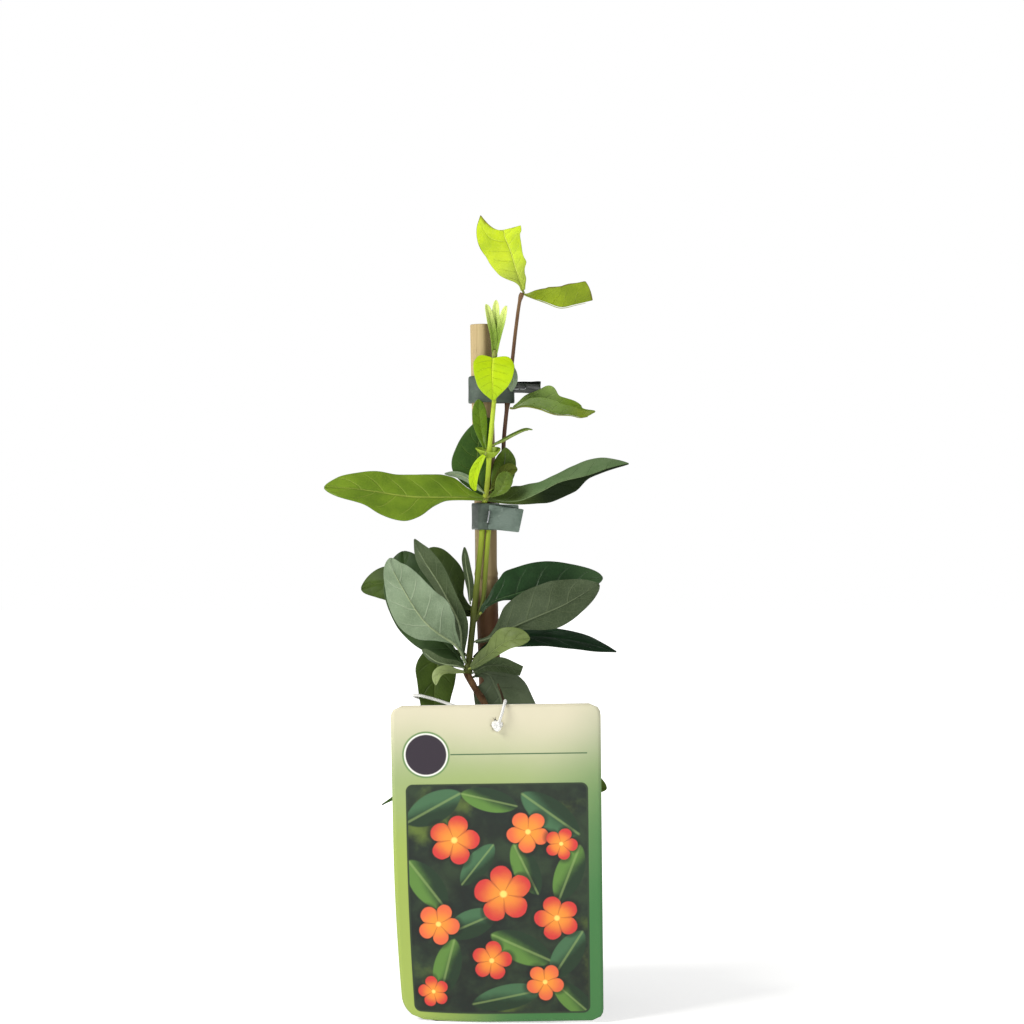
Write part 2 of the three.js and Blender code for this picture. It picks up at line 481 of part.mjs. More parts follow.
const nodeSwell = [[0, 0.35, 3], [0.19, 0.3, 2.5], [0.55, 0.2, 2.5], [0.7, 0.4, 2]];
const mainStem = toSolid(tube(STEMS.main, STEM_RADIUS.main, 26, 8, nodeSwell));
const sideStem = toSolid(tube(STEMS.side, STEM_RADIUS.side, 9, 8));
addPiece('stem_main', fromSolid(mainStem.add(sideStem)), material(0x8aa347));

const redSwell = [[0.52, 0.35, 2]];
addPiece('stem_red', tube(STEMS.red, STEM_RADIUS.red, 20, 8, redSwell), material(0x5a3a30, 0.7));

const shootLeaves = SHOOT.blades.map(({ rib, half, face }) => {
  const leaf = { rib, left: half, right: half, face: [face, face], cup: [25, 25], wave: [0, 1] };
  return toSolid(sheet(bladeGrid(leaf, 6, 4), 0.7));
});
const bud = new THREE.SphereGeometry(SHOOT.bud, 8, 6);
bud.translate(...SHOOT.base);
const shoot = shootLeaves.reduce((whole, part) => whole.add(part), toSolid(bud));
addPiece('shoot_tip', fromSolid(shoot), material(COLOURS.lightGreen));

const funnel = [
  [COLLAR.throat, -COLLAR.height], [COLLAR.throat + 0.6, -COLLAR.height - 0.2],
  [COLLAR.rim, -0.7], [COLLAR.rim, 0], [COLLAR.throat, -COLLAR.height + 1.2], [COLLAR.throat, -COLLAR.height],
].map(([r, z]) => new THREE.Vector2(r, z));
const collar = new THREE.LatheGeometry(funnel, 16);
collar.rotateX(Math.PI / 2 + rad(COLLAR.tilt[0]));
collar.rotateY(rad(COLLAR.tilt[1]));
collar.translate(...COLLAR.centre);
addPiece('leaf_collar', collar, material(COLOURS.brightLime));

// ---------------------------------------------------------------- bamboo cane
const caneCurve = new THREE.CatmullRomCurve3(STEMS.cane.map(V));
const caneRings = tubeRings(caneCurve, 20, 14, (t) => {
  const above = caneCurve.getPointAt(t).z - CANE_NODE.height;
  return CANE_RADIUS + CANE_NODE.swell * Math.exp(-((above / CANE_NODE.reach) ** 2));
});
const caneBore = new THREE.CylinderGeometry(CANE_BORE.radius, CANE_BORE.radius, 2 * CANE_BORE.depth, 10);
caneBore.rotateX(Math.PI / 2);
caneBore.translate(STEMS.cane[0][0], 0, STEMS.cane[0][2]);
const cane = toSolid(loft(caneRings)).subtract(toSolid(caneBore));
addPiece('cane', fromSolid(cane), material(0xb59a70, 0.7));

// ---------------------------------------------------------------- tape ties
// The tape lies tight round what it ties: the hull of the circles it holds.
function hullOutline(circles, grow) {
  const points = circles.flatMap(([x, y, r]) => Array.from({ length: 20 }, (_, i) => {
    const angle = (2 * Math.PI * i) / 20;
    return new THREE.Vector2(x + (r + grow) * Math.cos(angle), y + (r + grow) * Math.sin(angle));
  })).sort((a, b) => a.x - b.x || a.y - b.y);
  const chain = (list) => list.reduce((hull, p) => {
    while (hull.length > 1) {
      const [a, b] = hull.slice(-2);
      if ((b.x - a.x) * (p.y - a.y) - (b.y - a.y) * (p.x - a.x) > 1e-6) break;
      hull.pop();
    }
    return [...hull, p];
  }, []);
  return [...chain(points).slice(0, -1), ...chain(points.reverse()).slice(0, -1)];
}

function tapeLoop(circles, height) {
  const shape = new THREE.Shape(hullOutline(circles, GAP + TAPE_THICK));
  shape.holes.push(new THREE.Path(hullOutline(circles, GAP)));
  const loop = new THREE.ExtrudeGeometry(shape, { depth: TAPE_WIDTH, bevelEnabled: false });
  loop.translate(0, 0, height);
  return loop;
}

// Each tie: height of its lower edge, and the circles it goes round as x, y and radius.
const LOWER_TIE = { height: 195.4, circles: [[-4.7, 0, 4.75], [-5.6, -6.6, 1.55], [-2.9, -6.4, 1.2]] };
const UPPER_TIE = { height: 247.2, circles: [[-6, 0, 4.75], [4.8, 0.2, 1.5]] };
const LOWER_TAB = {
  front: -9.4, thick: 1, outline: [[-3.6, 196.2], [9, 194.6], [11, 203.6], [8.5, 206], [-3.2, 206]],
};
const UPPER_TAB = { reach: 12, thick: 1, tilt: 70, centre: [12.2, -1.4, 253.8] };

const lowerTab = new THREE.Shape(LOWER_TAB.outline.map(([x, z]) => new THREE.Vector2(x, z)));
const lowerTabSolid = new THREE.ExtrudeGeometry(lowerTab, { depth: LOWER_TAB.thick, bevelEnabled: false });
lowerTabSolid.rotateX(Math.PI / 2);
lowerTabSolid.translate(0, LOWER_TAB.front + LOWER_TAB.thick, 0);
const lowerTie = toSolid(tapeLoop(LOWER_TIE.circles, LOWER_TIE.height)).add(toSolid(lowerTabSolid));
addPiece('tie_lower', fromSolid(lowerTie), material(0x6b7f7d, 0.45));

const upperTab = new THREE.BoxGeometry(UPPER_TAB.reach, UPPER_TAB.thick, TAPE_WIDTH - 1);
upperTab.rotateX(rad(UPPER_TAB.tilt));
upperTab.translate(...UPPER_TAB.centre);
const upperTie = toSolid(tapeLoop(UPPER_TIE.circles, UPPER_TIE.height)).add(toSolid(upperTab));
addPiece('tie_upper', fromSolid(upperTie), material(0x2f3f3e, 0.45));

// Each staple shows as a short straight wire lying on the tape.
function staple(x, y, z, length, tilt) {
  const wire = new THREE.BoxGeometry(2 * STAPLE_WIRE, 2 * STAPLE_WIRE, length);
  wire.rotateY(rad(tilt));
  wire.translate(x, y, z);
  return wire;
}
const steel = material(0xb9bcc0, 0.3, 1);
addPiece('staple_lower', staple(-3.4, LOWER_TAB.front - GAP - STAPLE_WIRE, 200.8, 5.2, 10), steel);
addPiece('staple_upper', staple(9.2, -2, 255.25, 5, 90), steel);

// ---------------------------------------------------------------- hang label and its string
function labelPoint(u, v) {
  // u across from the middle and v up from it, on the card before it leans
  const low = Math.max(0, LABEL.curlTop - v / LABEL.height);
  const outer = Math.max(0, -u / LABEL.width);
  const bend = LABEL.curl * (4 * low * outer) ** 2;
  const point = new THREE.Vector3(u + LABEL.curlIn * bend, bend, v);
  point.applyAxisAngle(new THREE.Vector3(0, 1, 0), rad(-LABEL.roll));
  point.applyAxisAngle(new THREE.Vector3(1, 0, 0), rad(LABEL.lean));
  return point.add(V(LABEL.centre));
}

// Half width of the card at height v, drawn in by the round corners.
function cardHalf(v, lowCorner) {
  const corner = v < 0 ? lowCorner : LABEL.corner;
  const into = Math.max(0, Math.abs(v) - (LABEL.height / 2 - corner));
  return LABEL.width / 2 - corner + Math.sqrt(Math.max(0, corner ** 2 - into ** 2));
}

const cardRows = [];
const cardSteps = 14;
const cardAcross = 6;
for (let i = 0; i <= cardSteps; i++) {
  const v = (-LABEL.height / 2) * Math.cos(Math.PI * i / cardSteps);
  const row = [];
  for (let j = 0; j <= cardAcross; j++) {
    const share = (2 * j) / cardAcross - 1;
    row.push(labelPoint(share * cardHalf(v, share < 0 ? LABEL.cornerLow : LABEL.corner), v));
  }
  cardRows.push(row);
}
const holePunch = new THREE.CylinderGeometry(LABEL.hole, LABEL.hole, 8, 14);
holePunch.rotateX(rad(LABEL.lean));
const holeCentre = labelPoint(0, LABEL.height / 2 - LABEL.holeDown);
holePunch.translate(...holeCentre);
const card = toSolid(sheet(cardRows, LABEL.thick)).subtract(toSolid(holePunch));
addPiece('label', fromSolid(card), material(0xd9dcae, 0.4));

const stringCurve = new THREE.CatmullRomCurve3(STRING.route.map(V), true);
const stringRings = tubeRings(stringCurve, STRING.steps, STRING.sides, () => STRING.radius, true);
const stringPositions = stringRings.slice(0, -1).flat().flatMap((p) => [p.x, p.y, p.z]);
const stringIndices = [];
for (let s = 0; s < STRING.steps; s++) {
  for (let i = 0; i < STRING.sides; i++) {
    const next = ((s + 1) % STRING.steps) * STRING.sides;
    const [a, b] = [s * STRING.sides + i, s * STRING.sides + (i + 1) % STRING.sides];
    const [d, e] = [next + i, next + (i + 1) % STRING.sides];
    stringIndices.push(a, b, d, b, e, d);
  }
}
addPiece('label_string', meshGeometry(stringPositions, stringIndices), material(0xf2f2ee, 0.7));

// ---------------------------------------------------------------- pot and soil
function squareRing(half, corner, z) {
  const steps = 4;
  const ring = [];
  for (let q = 0; q < 4; q++) {
    const [sx, sy] = [[1, 1], [-1, 1], [-1, -1], [1, -1]][q];
    for (let i = 0; i <= steps; i++) {
      const angle = (Math.PI / 2) * (q + i / steps);
      const [cx, cy] = [sx * (half - corner), sy * (half - corner)];
      ring.push(new THREE.Vector3(cx + corner * Math.cos(angle), cy + corner * Math.sin(angle), z));
    }
  }
  return ring;
}

const potHalf = (z) => lerp(POT.base, POT.top, z / POT.height);
const lipFoot = POT.height - POT.rimHeight;
const potSkin = loft([
  squareRing(POT.base, POT.corner, 0),
  squareRing(potHalf(lipFoot) - POT.rimOut, POT.corner, lipFoot),
  squareRing(potHalf(lipFoot), POT.corner, lipFoot),
  squareRing(POT.top, POT.corner, POT.height),
  squareRing(POT.top - POT.wall - 0.6, POT.corner, POT.height),
  squareRing(potHalf(lipFoot) - POT.rimOut - POT.wall, POT.corner, lipFoot),
  squareRing(POT.base - POT.wall, POT.corner, POT.floor),
]);
let pot = toSolid(potSkin);
for (let i = 0; i < 4; i++) {
  const drain = new THREE.CylinderGeometry(POT.drain, POT.drain, 10, 12);
  drain.rotateX(Math.PI / 2);
  const angle = Math.PI / 4 + (Math.PI / 2) * i;
  drain.translate(POT.drainSpread * Math.cos(angle), POT.drainSpread * Math.sin(angle), 0);
  pot = pot.subtract(toSolid(drain));
}
addPiece('pot', fromSolid(pot), material(0x1d1f20, 0.55));

const soilHalf = (z) => {
  const wallSlope = (potHalf(lipFoot) - POT.rimOut - POT.base) / lipFoot;
  return POT.base - POT.wall - GAP + wallSlope * z - SOIL.inset;
};
// Uneven top of the soil: two crossing ripples under a millimetre high.
const crumb = (x, y) => 0.9 * Math.sin(0.55 * x + 1.3) * Math.cos(0.47 * y)
  + 0.6 * Math.sin(0.31 * x * y / 9 + 2);
const soilRings = [
  squareRing(soilHalf(POT.floor + GAP), POT.corner, POT.floor + GAP),
  squareRing(soilHalf(SOIL.top - SOIL.edge), POT.corner, SOIL.top - SOIL.edge),
];
for (const share of SOIL.rings) {
  soilRings.push(squareRing(soilHalf(SOIL.top), POT.corner, SOIL.top).map((p) => {
    const [x, y] = [p.x * share, p.y * share];
    return new THREE.Vector3(x, y, SOIL.top + SOIL.mound * (1 - share) + crumb(x, y));
  }));
}
const pitPath = [[-4.4, 0, 176.1], [-1.5, 0, 70.1], [-0.6, 0, CANE_FOOT - 2 * GAP]].map(V);
const canePit = toSolid(loft(tubeRings(new THREE.CatmullRomCurve3(pitPath), 6, 16, () => CANE_HOLE)));
const stemHole = SOIL_STEM.radius + GAP;
const stemPit = new THREE.CylinderGeometry(stemHole, stemHole, 2 * SOIL_STEM.depth, 10);
stemPit.rotateX(Math.PI / 2);
stemPit.translate(SOIL_STEM.x, SOIL_STEM.y, SOIL.top);
const soil = toSolid(loft(soilRings)).subtract(canePit).subtract(toSolid(stemPit));
addPiece('soil', fromSolid(soil), material(0x2e241c, 0.95));

export default plant;
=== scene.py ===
"""A young honeysuckle on its bamboo cane, in a nursery pot with a hang label."""
import math
import random
from bisect import bisect_right

import bmesh
import bpy
from mathutils import Matrix, Vector, geometry, noise


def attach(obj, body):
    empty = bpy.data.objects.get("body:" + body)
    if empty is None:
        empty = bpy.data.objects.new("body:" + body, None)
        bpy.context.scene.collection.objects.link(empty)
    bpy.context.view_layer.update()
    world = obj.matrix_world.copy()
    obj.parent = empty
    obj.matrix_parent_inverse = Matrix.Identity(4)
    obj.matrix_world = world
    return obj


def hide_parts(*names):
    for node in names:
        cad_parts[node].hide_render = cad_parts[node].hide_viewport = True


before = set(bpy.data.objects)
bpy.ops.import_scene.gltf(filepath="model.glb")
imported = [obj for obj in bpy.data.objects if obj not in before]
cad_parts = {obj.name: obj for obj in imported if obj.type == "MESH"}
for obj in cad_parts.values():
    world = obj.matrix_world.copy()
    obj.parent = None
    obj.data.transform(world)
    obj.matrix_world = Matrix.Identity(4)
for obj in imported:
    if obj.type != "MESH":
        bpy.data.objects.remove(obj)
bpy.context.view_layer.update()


# ------------------------------------------------------------------ camera and studio
# A level camera a metre in front, a wide pale floor, and soft light from the upper left
# with a weaker fill from the right. Nothing here is part of the plant.
scene = bpy.context.scene
scene.view_settings.view_transform = "Standard"
lens = bpy.data.cameras.new("camera")
lens.lens = 85.71
lens.sensor_width = 36
camera = bpy.data.objects.new("camera", lens)
camera.location = (0.00615, -1.0, 0.2027)
camera.rotation_euler = (math.radians(90), 0, 0)
scene.collection.objects.link(camera)
scene.camera = camera


def soft_light(name, place, aim, size, power, warmth):
    """A square lamp that looks at a point."""
    lamp = bpy.data.lights.new(name, "AREA")
    lamp.size = size
    lamp.energy = power
    lamp.color = warmth
    holder = bpy.data.objects.new(name, lamp)
    holder.location = place
    holder.rotation_euler = (Vector(aim) - Vector(place)).to_track_quat("-Z", "Y").to_euler()
    scene.collection.objects.link(holder)


soft_light("key", (-1.15, -0.85, 1.15), (0, 0, 0.2), 0.6, 23, (1, 0.985, 0.95))
soft_light("fill", (1.5, -0.9, 0.5), (0, 0, 0.18), 1.2, 2.5, (0.97, 0.98, 1))
soft_light("rear", (0.5, 1.4, 1.2), (0, 0, 0.2), 1.0, 5, (1, 1, 1))

world = bpy.data.worlds.new("studio")
world.use_nodes = True
sky = world.node_tree
light_path = sky.nodes.new("ShaderNodeLightPath")
brightness = sky.nodes.new("ShaderNodeMapRange")
brightness.inputs["To Min"].default_value = 0.34
brightness.inputs["To Max"].default_value = 1.0
sky.links.new(light_path.outputs["Is Camera Ray"], brightness.inputs["Value"])
sky.links.new(brightness.outputs["Result"], sky.nodes["Background"].inputs["Strength"])
sky.nodes["Background"].inputs["Color"].default_value = (1, 1, 1, 1)
scene.world = world


class Tone:
    """One value inside a finish; sums on it add the nodes that work them out."""

    def __init__(self, finish, socket):
        self.finish = finish
        self.socket = socket

    def work(self, operation, *values):
        return self.finish.node("Math", {"operation": operation}, dict(enumerate(values)))

    def __add__(self, other):
        return self.work("ADD", self, other)

    def __sub__(self, other):
        return self.work("SUBTRACT", self, other)

    def __rsub__(self, other):
        return self.work("SUBTRACT", other, self)

    def __mul__(self, other):
        return self.work("MULTIPLY", self, other)

    def __truediv__(self, other):
        return self.work("DIVIDE", self, other)

    def __pow__(self, other):
        return self.work("POWER", self, other)

    __radd__ = __add__
    __rmul__ = __mul__

    def size(self):
        return self.work("ABSOLUTE", self)

    def part(self):
        return self.work("FRACT", self)

    def wave(self):
        return self.work("SINE", self)

    def most(self, other):
        return self.work("MAXIMUM", self, other)

    def rise(self, start, end):
        """Nought up to start, one from end on, smooth between."""
        values = {"Value": self, "From Min": start, "From Max": end}
        return self.finish.node("MapRange", {"interpolation_type": "SMOOTHSTEP"}, values)


def linear(red, green, blue):
    """A colour as the eye reads it, turned into the light it sends back."""
    return (*(c / 12.92 if c < 0.04045 else ((c + 0.055) / 1.055) ** 2.4 for c in (red, green, blue)), 1)


class Finish:
    """A material: its shader, and one method that adds any node."""

    def __init__(self, name, fixed):
        self.material = bpy.data.materials.new(name)
        self.material.use_nodes = True
        self.tree = self.material.node_tree
        self.shader = self.tree.nodes["Principled BSDF"]
        for socket, value in fixed.items():
            self.shader.inputs[socket].default_value = value
        self.place = self.node("TexCoord", {}, {}, "Object")

    def give(self, socket, value):
        if isinstance(value, Tone):
            self.tree.links.new(value.socket, socket)
        elif value is not None:
            socket.default_value = value

    def node(self, kind, settings, sockets, out=0):
        made = self.tree.nodes.new("ShaderNode" + kind)
        for name, value in settings.items():
            setattr(made, name, value)
        for name, value in sockets.items():
            self.give(made.inputs[name], value)
        return Tone(self, made.outputs[out])

    def map(self):
        """The two numbers of the piece's own UV map."""
        pair = self.node("TexCoord", {}, {}, "UV")
        return [self.node("SeparateXYZ", {}, {0: pair}, axis) for axis in (0, 1)]

    def axes(self):
        return [self.node("SeparateXYZ", {}, {0: self.place}, axis) for axis in (0, 1, 2)]

    def speckle(self, scale, detail=3, rough=0.55, stretch=None):
        """Cloudy noise from nought to one."""
        where = self.place
        if stretch:
            where = self.node("VectorMath", {"operation": "MULTIPLY"}, {0: where, 1: stretch})
        sockets = {"Vector": where, "Scale": scale, "Detail": detail, "Roughness": rough}
        return self.node("TexNoise", {}, sockets)

    def cells(self, scale, feature="DISTANCE_TO_EDGE"):
        return self.node("TexVoronoi", {"feature": feature}, {"Vector": self.place, "Scale": scale})

    def blend(self, share, first, second, way="MIX"):
        """From the first colour to the second; three numbers are a colour as the eye reads it."""
        first, second = (linear(*tone) if isinstance(tone, tuple) and len(tone) == 3 else tone
                         for tone in (first, second))
        settings = {"data_type": "RGBA", "blend_type": way, "clamp_factor": True}
        return self.node("Mix", settings, {0: share, 6: first, 7: second}, 2)

    def relief(self, height, depth, strength=1.0):
        """A bump of that depth in metres."""
        sockets = {"Strength": strength, "Distance": depth, "Height": height}
        return self.node("Bump", {}, sockets)

    def wear(self, colour, roughness, normal=None):
        self.give(self.shader.inputs["Base Color"], colour)
        self.give(self.shader.inputs["Roughness"], roughness)
        self.give(self.shader.inputs["Normal"], normal)
        return self.material


MM = 0.001


def modify(made, kind, **settings):
    """Adds one modifier with its settings."""
    layer = made.modifiers.new(kind.lower(), kind)
    for name, value in settings.items():
        setattr(layer, name, value)


def soften(made):
    modify(made, "SUBSURF", levels=1, render_levels=1)


def piece(name, mesh, finishes, slot, node, smooth=True, outward=True):
    """Turns a mesh in millimetres into an object in its place, riding on the plant."""
    if outward:
        bmesh.ops.recalc_face_normals(mesh, faces=mesh.faces)
    bmesh.ops.scale(mesh, vec=(MM, MM, MM), verts=mesh.verts)
    data = bpy.data.meshes.new(name)
    mesh.to_mesh(data)
    mesh.free()
    made = bpy.data.objects.new(name, data)
    scene.collection.objects.link(made)
    for finish in finishes:
        data.materials.append(finish)
    for polygon in data.polygons:
        polygon.use_smooth = smooth
    if slot:
        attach(made, "root")
        if node:
            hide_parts(node)
    return made


def pull(mesh, edges):
    """Extrudes edges; gives the new points, the new outer edges and the new faces."""
    grown = bmesh.ops.extrude_edge_only(mesh, edges=edges)["geom"]
    verts = [g for g in grown if isinstance(g, bmesh.types.BMVert)]
    fresh = set(verts)
    outer = [g for g in grown if isinstance(g, bmesh.types.BMEdge) and set(g.verts) <= fresh]
    return verts, outer, [g for g in grown if isinstance(g, bmesh.types.BMFace)]


def square_to(verts, half, z):
    """Brings a ring of points to a half width and a height."""
    was = max(abs(v.co.x) for v in verts)
    for v in verts:
        v.co.x *= half / was
        v.co.y *= half / was
        v.co.z = z


FLOOR_HALF = 4000
paper = Finish("studio_floor", {"Emission Strength": 1.0})
paper_tone = paper.blend(paper.speckle(3).rise(0.3, 0.7), (0.95, 0.95, 0.945), (0.965, 0.965, 0.96))
floor_x, floor_y, _ = paper.axes()
away = (floor_x * floor_x + floor_y * floor_y) ** 0.5
glow = paper.blend(away.rise(0.02, 0.8), (0.5, 0.5, 0.5, 1), (0.95, 0.95, 0.95, 1))
paper.give(paper.shader.inputs["Emission Color"], glow)
floor_mesh = bmesh.new()
bmesh.ops.create_grid(floor_mesh, x_segments=8, y_segments=8, size=FLOOR_HALF)
floor_finish = paper.wear(paper_tone, 0.8)
floor = piece("floor", floor_mesh, [floor_finish], None, None, smooth=False, outward=False)


# ------------------------------------------------------------------ nursery pot
# A square pot blown from thin black plastic: tapered walls, a rim that steps out, four drain
# holes in the floor. The plant's root ball fills it.
POT = {"height": 78, "top": 40, "base": 29, "wall": 1.3, "rim_out": 1.6, "rim": 5, "corner": 9,
       "drain": 3.2, "drain_at": 14.5}
LIP = POT["height"] - POT["rim"]


def pot_half(z):
    return POT["base"] + (POT["top"] - POT["base"]) * z / POT["height"]


plastic = Finish("pot_plastic", {"Specular IOR Level": 0.45})
scuff = plastic.speckle(90, 5, 0.7, stretch=(1, 1, 0.25)).rise(0.5, 0.75)
dust = plastic.speckle(22, 4).rise(0.5, 0.8)
height = plastic.axes()[2]
rim_dust = height.rise(0.068, 0.077)
plastic_tone = plastic.blend(scuff * 0.5, (0.085, 0.09, 0.095), (0.16, 0.165, 0.17))
plastic_tone = plastic.blend(dust * 0.35 + rim_dust * dust * 0.4, plastic_tone, (0.33, 0.31, 0.28))
plastic_skin = plastic.relief(plastic.speckle(1400, 2) + scuff, 0.00008, 0.6)
pot_black = plastic.wear(plastic_tone, scuff * 0.2 + dust * 0.15 + 0.42, plastic_skin)

pot = bmesh.new()
bmesh.ops.create_grid(pot, x_segments=12, y_segments=12, size=POT["base"])
near_drain = [v for v in pot.verts if all(abs(abs(c) - POT["drain_at"]) < 1 for c in v.co.xy)]
for middle in near_drain:
    spot = middle.co.copy()
    bmesh.ops.delete(pot, geom=list(middle.link_faces), context="FACES")
    ring = [e for e in pot.edges if e.is_boundary
            and (sum((v.co for v in e.verts), Vector()) / 2 - spot).length < 8]
    hole = bmesh.ops.create_circle(pot, segments=8, radius=POT["drain"],
                                   matrix=Matrix.Translation(spot))["verts"]
    hole_edges = list({e for v in hole for e in v.link_edges})
    bmesh.ops.bridge_loops(pot, edges=ring + hole_edges)
for v in pot.verts:
    if min(abs(v.co.x), abs(v.co.y)) > POT["base"] - 0.1:
        v.co.xy *= 1 - 0.29 * POT["corner"] / POT["base"]


def outside(edge):
    """True for the floor's outer edges, and not for those of the drain holes."""
    drain = POT["drain_at"]
    holes = [Vector((math.copysign(drain, v.co.x), math.copysign(drain, v.co.y))) for v in edge.verts]
    clear = all((v.co.xy - hole).length > 4 for v, hole in zip(edge.verts, holes))
    reach = max(abs(v.co.x) + abs(v.co.y) for v in edge.verts)
    return edge.is_boundary and clear and reach > POT["base"] - 0.5


edge = [e for e in pot.edges if outside(e)]
profile = [(1.2, 0.9), (LIP * 0.5, 0), (LIP - 1.2, 0), (LIP, 0), (LIP, POT["rim_out"]),
           (LIP + 1, POT["rim_out"] + 0.2), (POT["height"] - 1, POT["rim_out"]),
           (POT["height"], POT["rim_out"] - 0.6)]
for z, extra in profile:
    verts, edge, _ = pull(pot, edge)
    square_to(verts, pot_half(z) - POT["rim_out"] + extra, z)
pot_piece = piece("nursery_pot", pot, [pot_black], "pot_plastic", "pot")
modify(pot_piece, "SOLIDIFY", thickness=POT["wall"] * MM, offset=-1)
modify(pot_piece, "BEVEL", width=0.4 * MM, segments=2, limit_method="ANGLE")
soften(pot_piece)


# ------------------------------------------------------------------ compost
# Dark peaty compost that fills the pot to a finger below the rim, with crumbs of bark and
# a few pale grains of perlite on top.
COMPOST_TOP = 70
random.seed(4)
noise.seed_set(4)

peat = Finish("compost", {"Specular IOR Level": 0.2})
clod = peat.speckle(260, 6, 0.7)
fibre = peat.cells(420, "F1")
peat_tone = peat.blend(clod.rise(0.35, 0.7), (0.10, 0.075, 0.055), (0.24, 0.175, 0.125))
peat_tone = peat.blend(fibre.rise(0.55, 0.85) * 0.4, peat_tone, (0.36, 0.27, 0.19))
compost_brown = peat.wear(peat_tone, clod * 0.2 + 0.78, peat.relief(clod + fibre * 0.5, 0.0006))

bark_bits = Finish("compost_crumbs", {"Specular IOR Level": 0.2})
which = bark_bits.cells(330, "F1")
bit_tone = bark_bits.blend(bark_bits.speckle(190).rise(0.4, 0.62), (0.13, 0.09, 0.065), (0.34, 0.23, 0.15))
bit_skin = bark_bits.relief(bark_bits.speckle(900), 0.0003)
crumb_brown = bark_bits.wear(bit_tone, which * 0.2 + 0.75, bit_skin)
perlite = Finish("perlite", {})
grit = perlite.speckle(700, 4)
perlite_tone = perlite.blend(grit, (0.72, 0.70, 0.65), (0.90, 0.89, 0.86))
perlite_white = perlite.wear(perlite_tone, grit * 0.2 + 0.7, perlite.relief(grit, 0.0003))


def compost_half(z):
    slope = (pot_half(LIP) - POT["rim_out"] - POT["base"]) / LIP
    return POT["base"] - POT["wall"] - 0.6 + slope * z


def compost_height(x, y):
    lumps = noise.noise(Vector((x, y, 3)) * 0.13) * 2.2 + noise.noise(Vector((x, y, 8)) * 0.5) * 0.8
    near_cane = math.exp(-((x + 1.5) ** 2 + y ** 2) / 60)
    return COMPOST_TOP + lumps + 0.5 * near_cane


def square_round(x, y, corner=0.24):
    """Pulls a square's points in so that its corners are round."""
    reach = max(abs(x), abs(y)) or 1e-6
    limit = reach * (1 - corner)
    over = Vector((max(abs(x) - limit, 0), max(abs(y) - limit, 0)))
    room = reach * corner
    if over.length > room:
        over *= room / over.length
    keep = [min(abs(x), limit) + over.x, min(abs(y), limit) + over.y]
    return math.copysign(keep[0], x), math.copysign(keep[1], y)


soil = bmesh.new()
bmesh.ops.create_grid(soil, x_segments=54, y_segments=54, size=1)
half = compost_half(COMPOST_TOP - 1)
for v in soil.verts:
    x, y = square_round(v.co.x * half, v.co.y * half)
    v.co = (x, y, compost_height(x, y))
rim_edges = [e for e in soil.edges if e.is_boundary]
for z in (40, 2):
    verts, rim_edges, _ = pull(soil, rim_edges)
    square_to(verts, compost_half(z), z)
bmesh.ops.edgeloop_fill(soil, edges=rim_edges)
piece("compost_bed", soil, [compost_brown], "compost", "soil")

crumbs = bmesh.new()
CRUMBS = 420
PERLITE_EVERY = 9
for i in range(CRUMBS):
    pale = i % PERLITE_EVERY == 0
    x, y = [random.uniform(-0.93, 0.93) * half for _ in range(2)]
    x, y = square_round(x, y)
    size = random.uniform(0.5, 1.5) * (0.6 if pale else 1)
    turn = (Matrix.Rotation(random.uniform(0, 6.28), 4, "Z")
            @ Matrix.Rotation(random.uniform(0, 3.14), 4, "X"))
    form = Matrix.Diagonal((size, size * random.uniform(0.5, 1), size * random.uniform(0.35, 0.8), 1))
    spot = Matrix.Translation((x, y, compost_height(x, y) + 0.15 * size))
    made = bmesh.ops.create_icosphere(crumbs, subdivisions=1, radius=1, matrix=spot @ turn @ form)["verts"]
    for v in made:
        v.co += Vector([random.uniform(-0.15, 0.15) * size for _ in range(3)])
        for face in v.link_faces:
            face.material_index = int(pale)
piece("compost_crumbs", crumbs, [crumb_brown, perlite_white], "compost", None, smooth=False, outward=False)


# ------------------------------------------------------------------ bamboo cane
# A cane about nine millimetres thick, grey-tan, with one node ring and an open sawn top. It
# stands deep in the compost, and the stems are tied to it.
class Route:
    """A smooth line through points, read by its share of the whole length."""

    STEPS = 200

    def __init__(self, points, closed=False):
        self.points = [Vector(point) for point in points]
        self.closed = closed
        self.marks = [0.0]
        spots = [self.spot(i / self.STEPS) for i in range(self.STEPS + 1)]
        for a, b in zip(spots, spots[1:]):
            self.marks.append(self.marks[-1] + (b - a).length)
        self.length = self.marks[-1]

    def point(self, i):
        if self.closed:
            return self.points[i % len(self.points)]
        if i < 0:
            return self.points[0] * 2 - self.points[1]
        if i >= len(self.points):
            return self.points[-1] * 2 - self.points[-2]
        return self.points[i]

    def spot(self, share):
        span = len(self.points) - (0 if self.closed else 1)
        first = min(int(span * share), span - 1)
        weight = span * share - first
        a, b, c, d = (self.point(first + i) for i in (-1, 0, 1, 2))
        ab, bc, cd = (max((q - p).length, 1e-6) ** 0.5 for p, q in ((a, b), (b, c), (c, d)))
        leave = ((b - a) / ab - (c - a) / (ab + bc) + (c - b) / bc) * bc
        arrive = ((c - b) / bc - (d - b) / (bc + cd) + (d - c) / cd) * bc
        square = (c - b) * 3 - leave * 2 - arrive
        cube = (b - c) * 2 + leave + arrive
        return b + (leave + (square + cube * weight) * weight) * weight

    def share(self, along):
        target = along * self.length
        i = min(bisect_right(self.marks, target), self.STEPS) - 1
        step = self.marks[i + 1] - self.marks[i] or 1
        return (i + (target - self.marks[i]) / step) / self.STEPS

    def at(self, along):
        return self.spot(self.share(along))

    def way(self, along):
        share = self.share(along)
        return (self.spot(min(share + 1e-4, 1)) - self.spot(max(share - 1e-4, 0))).normalized()


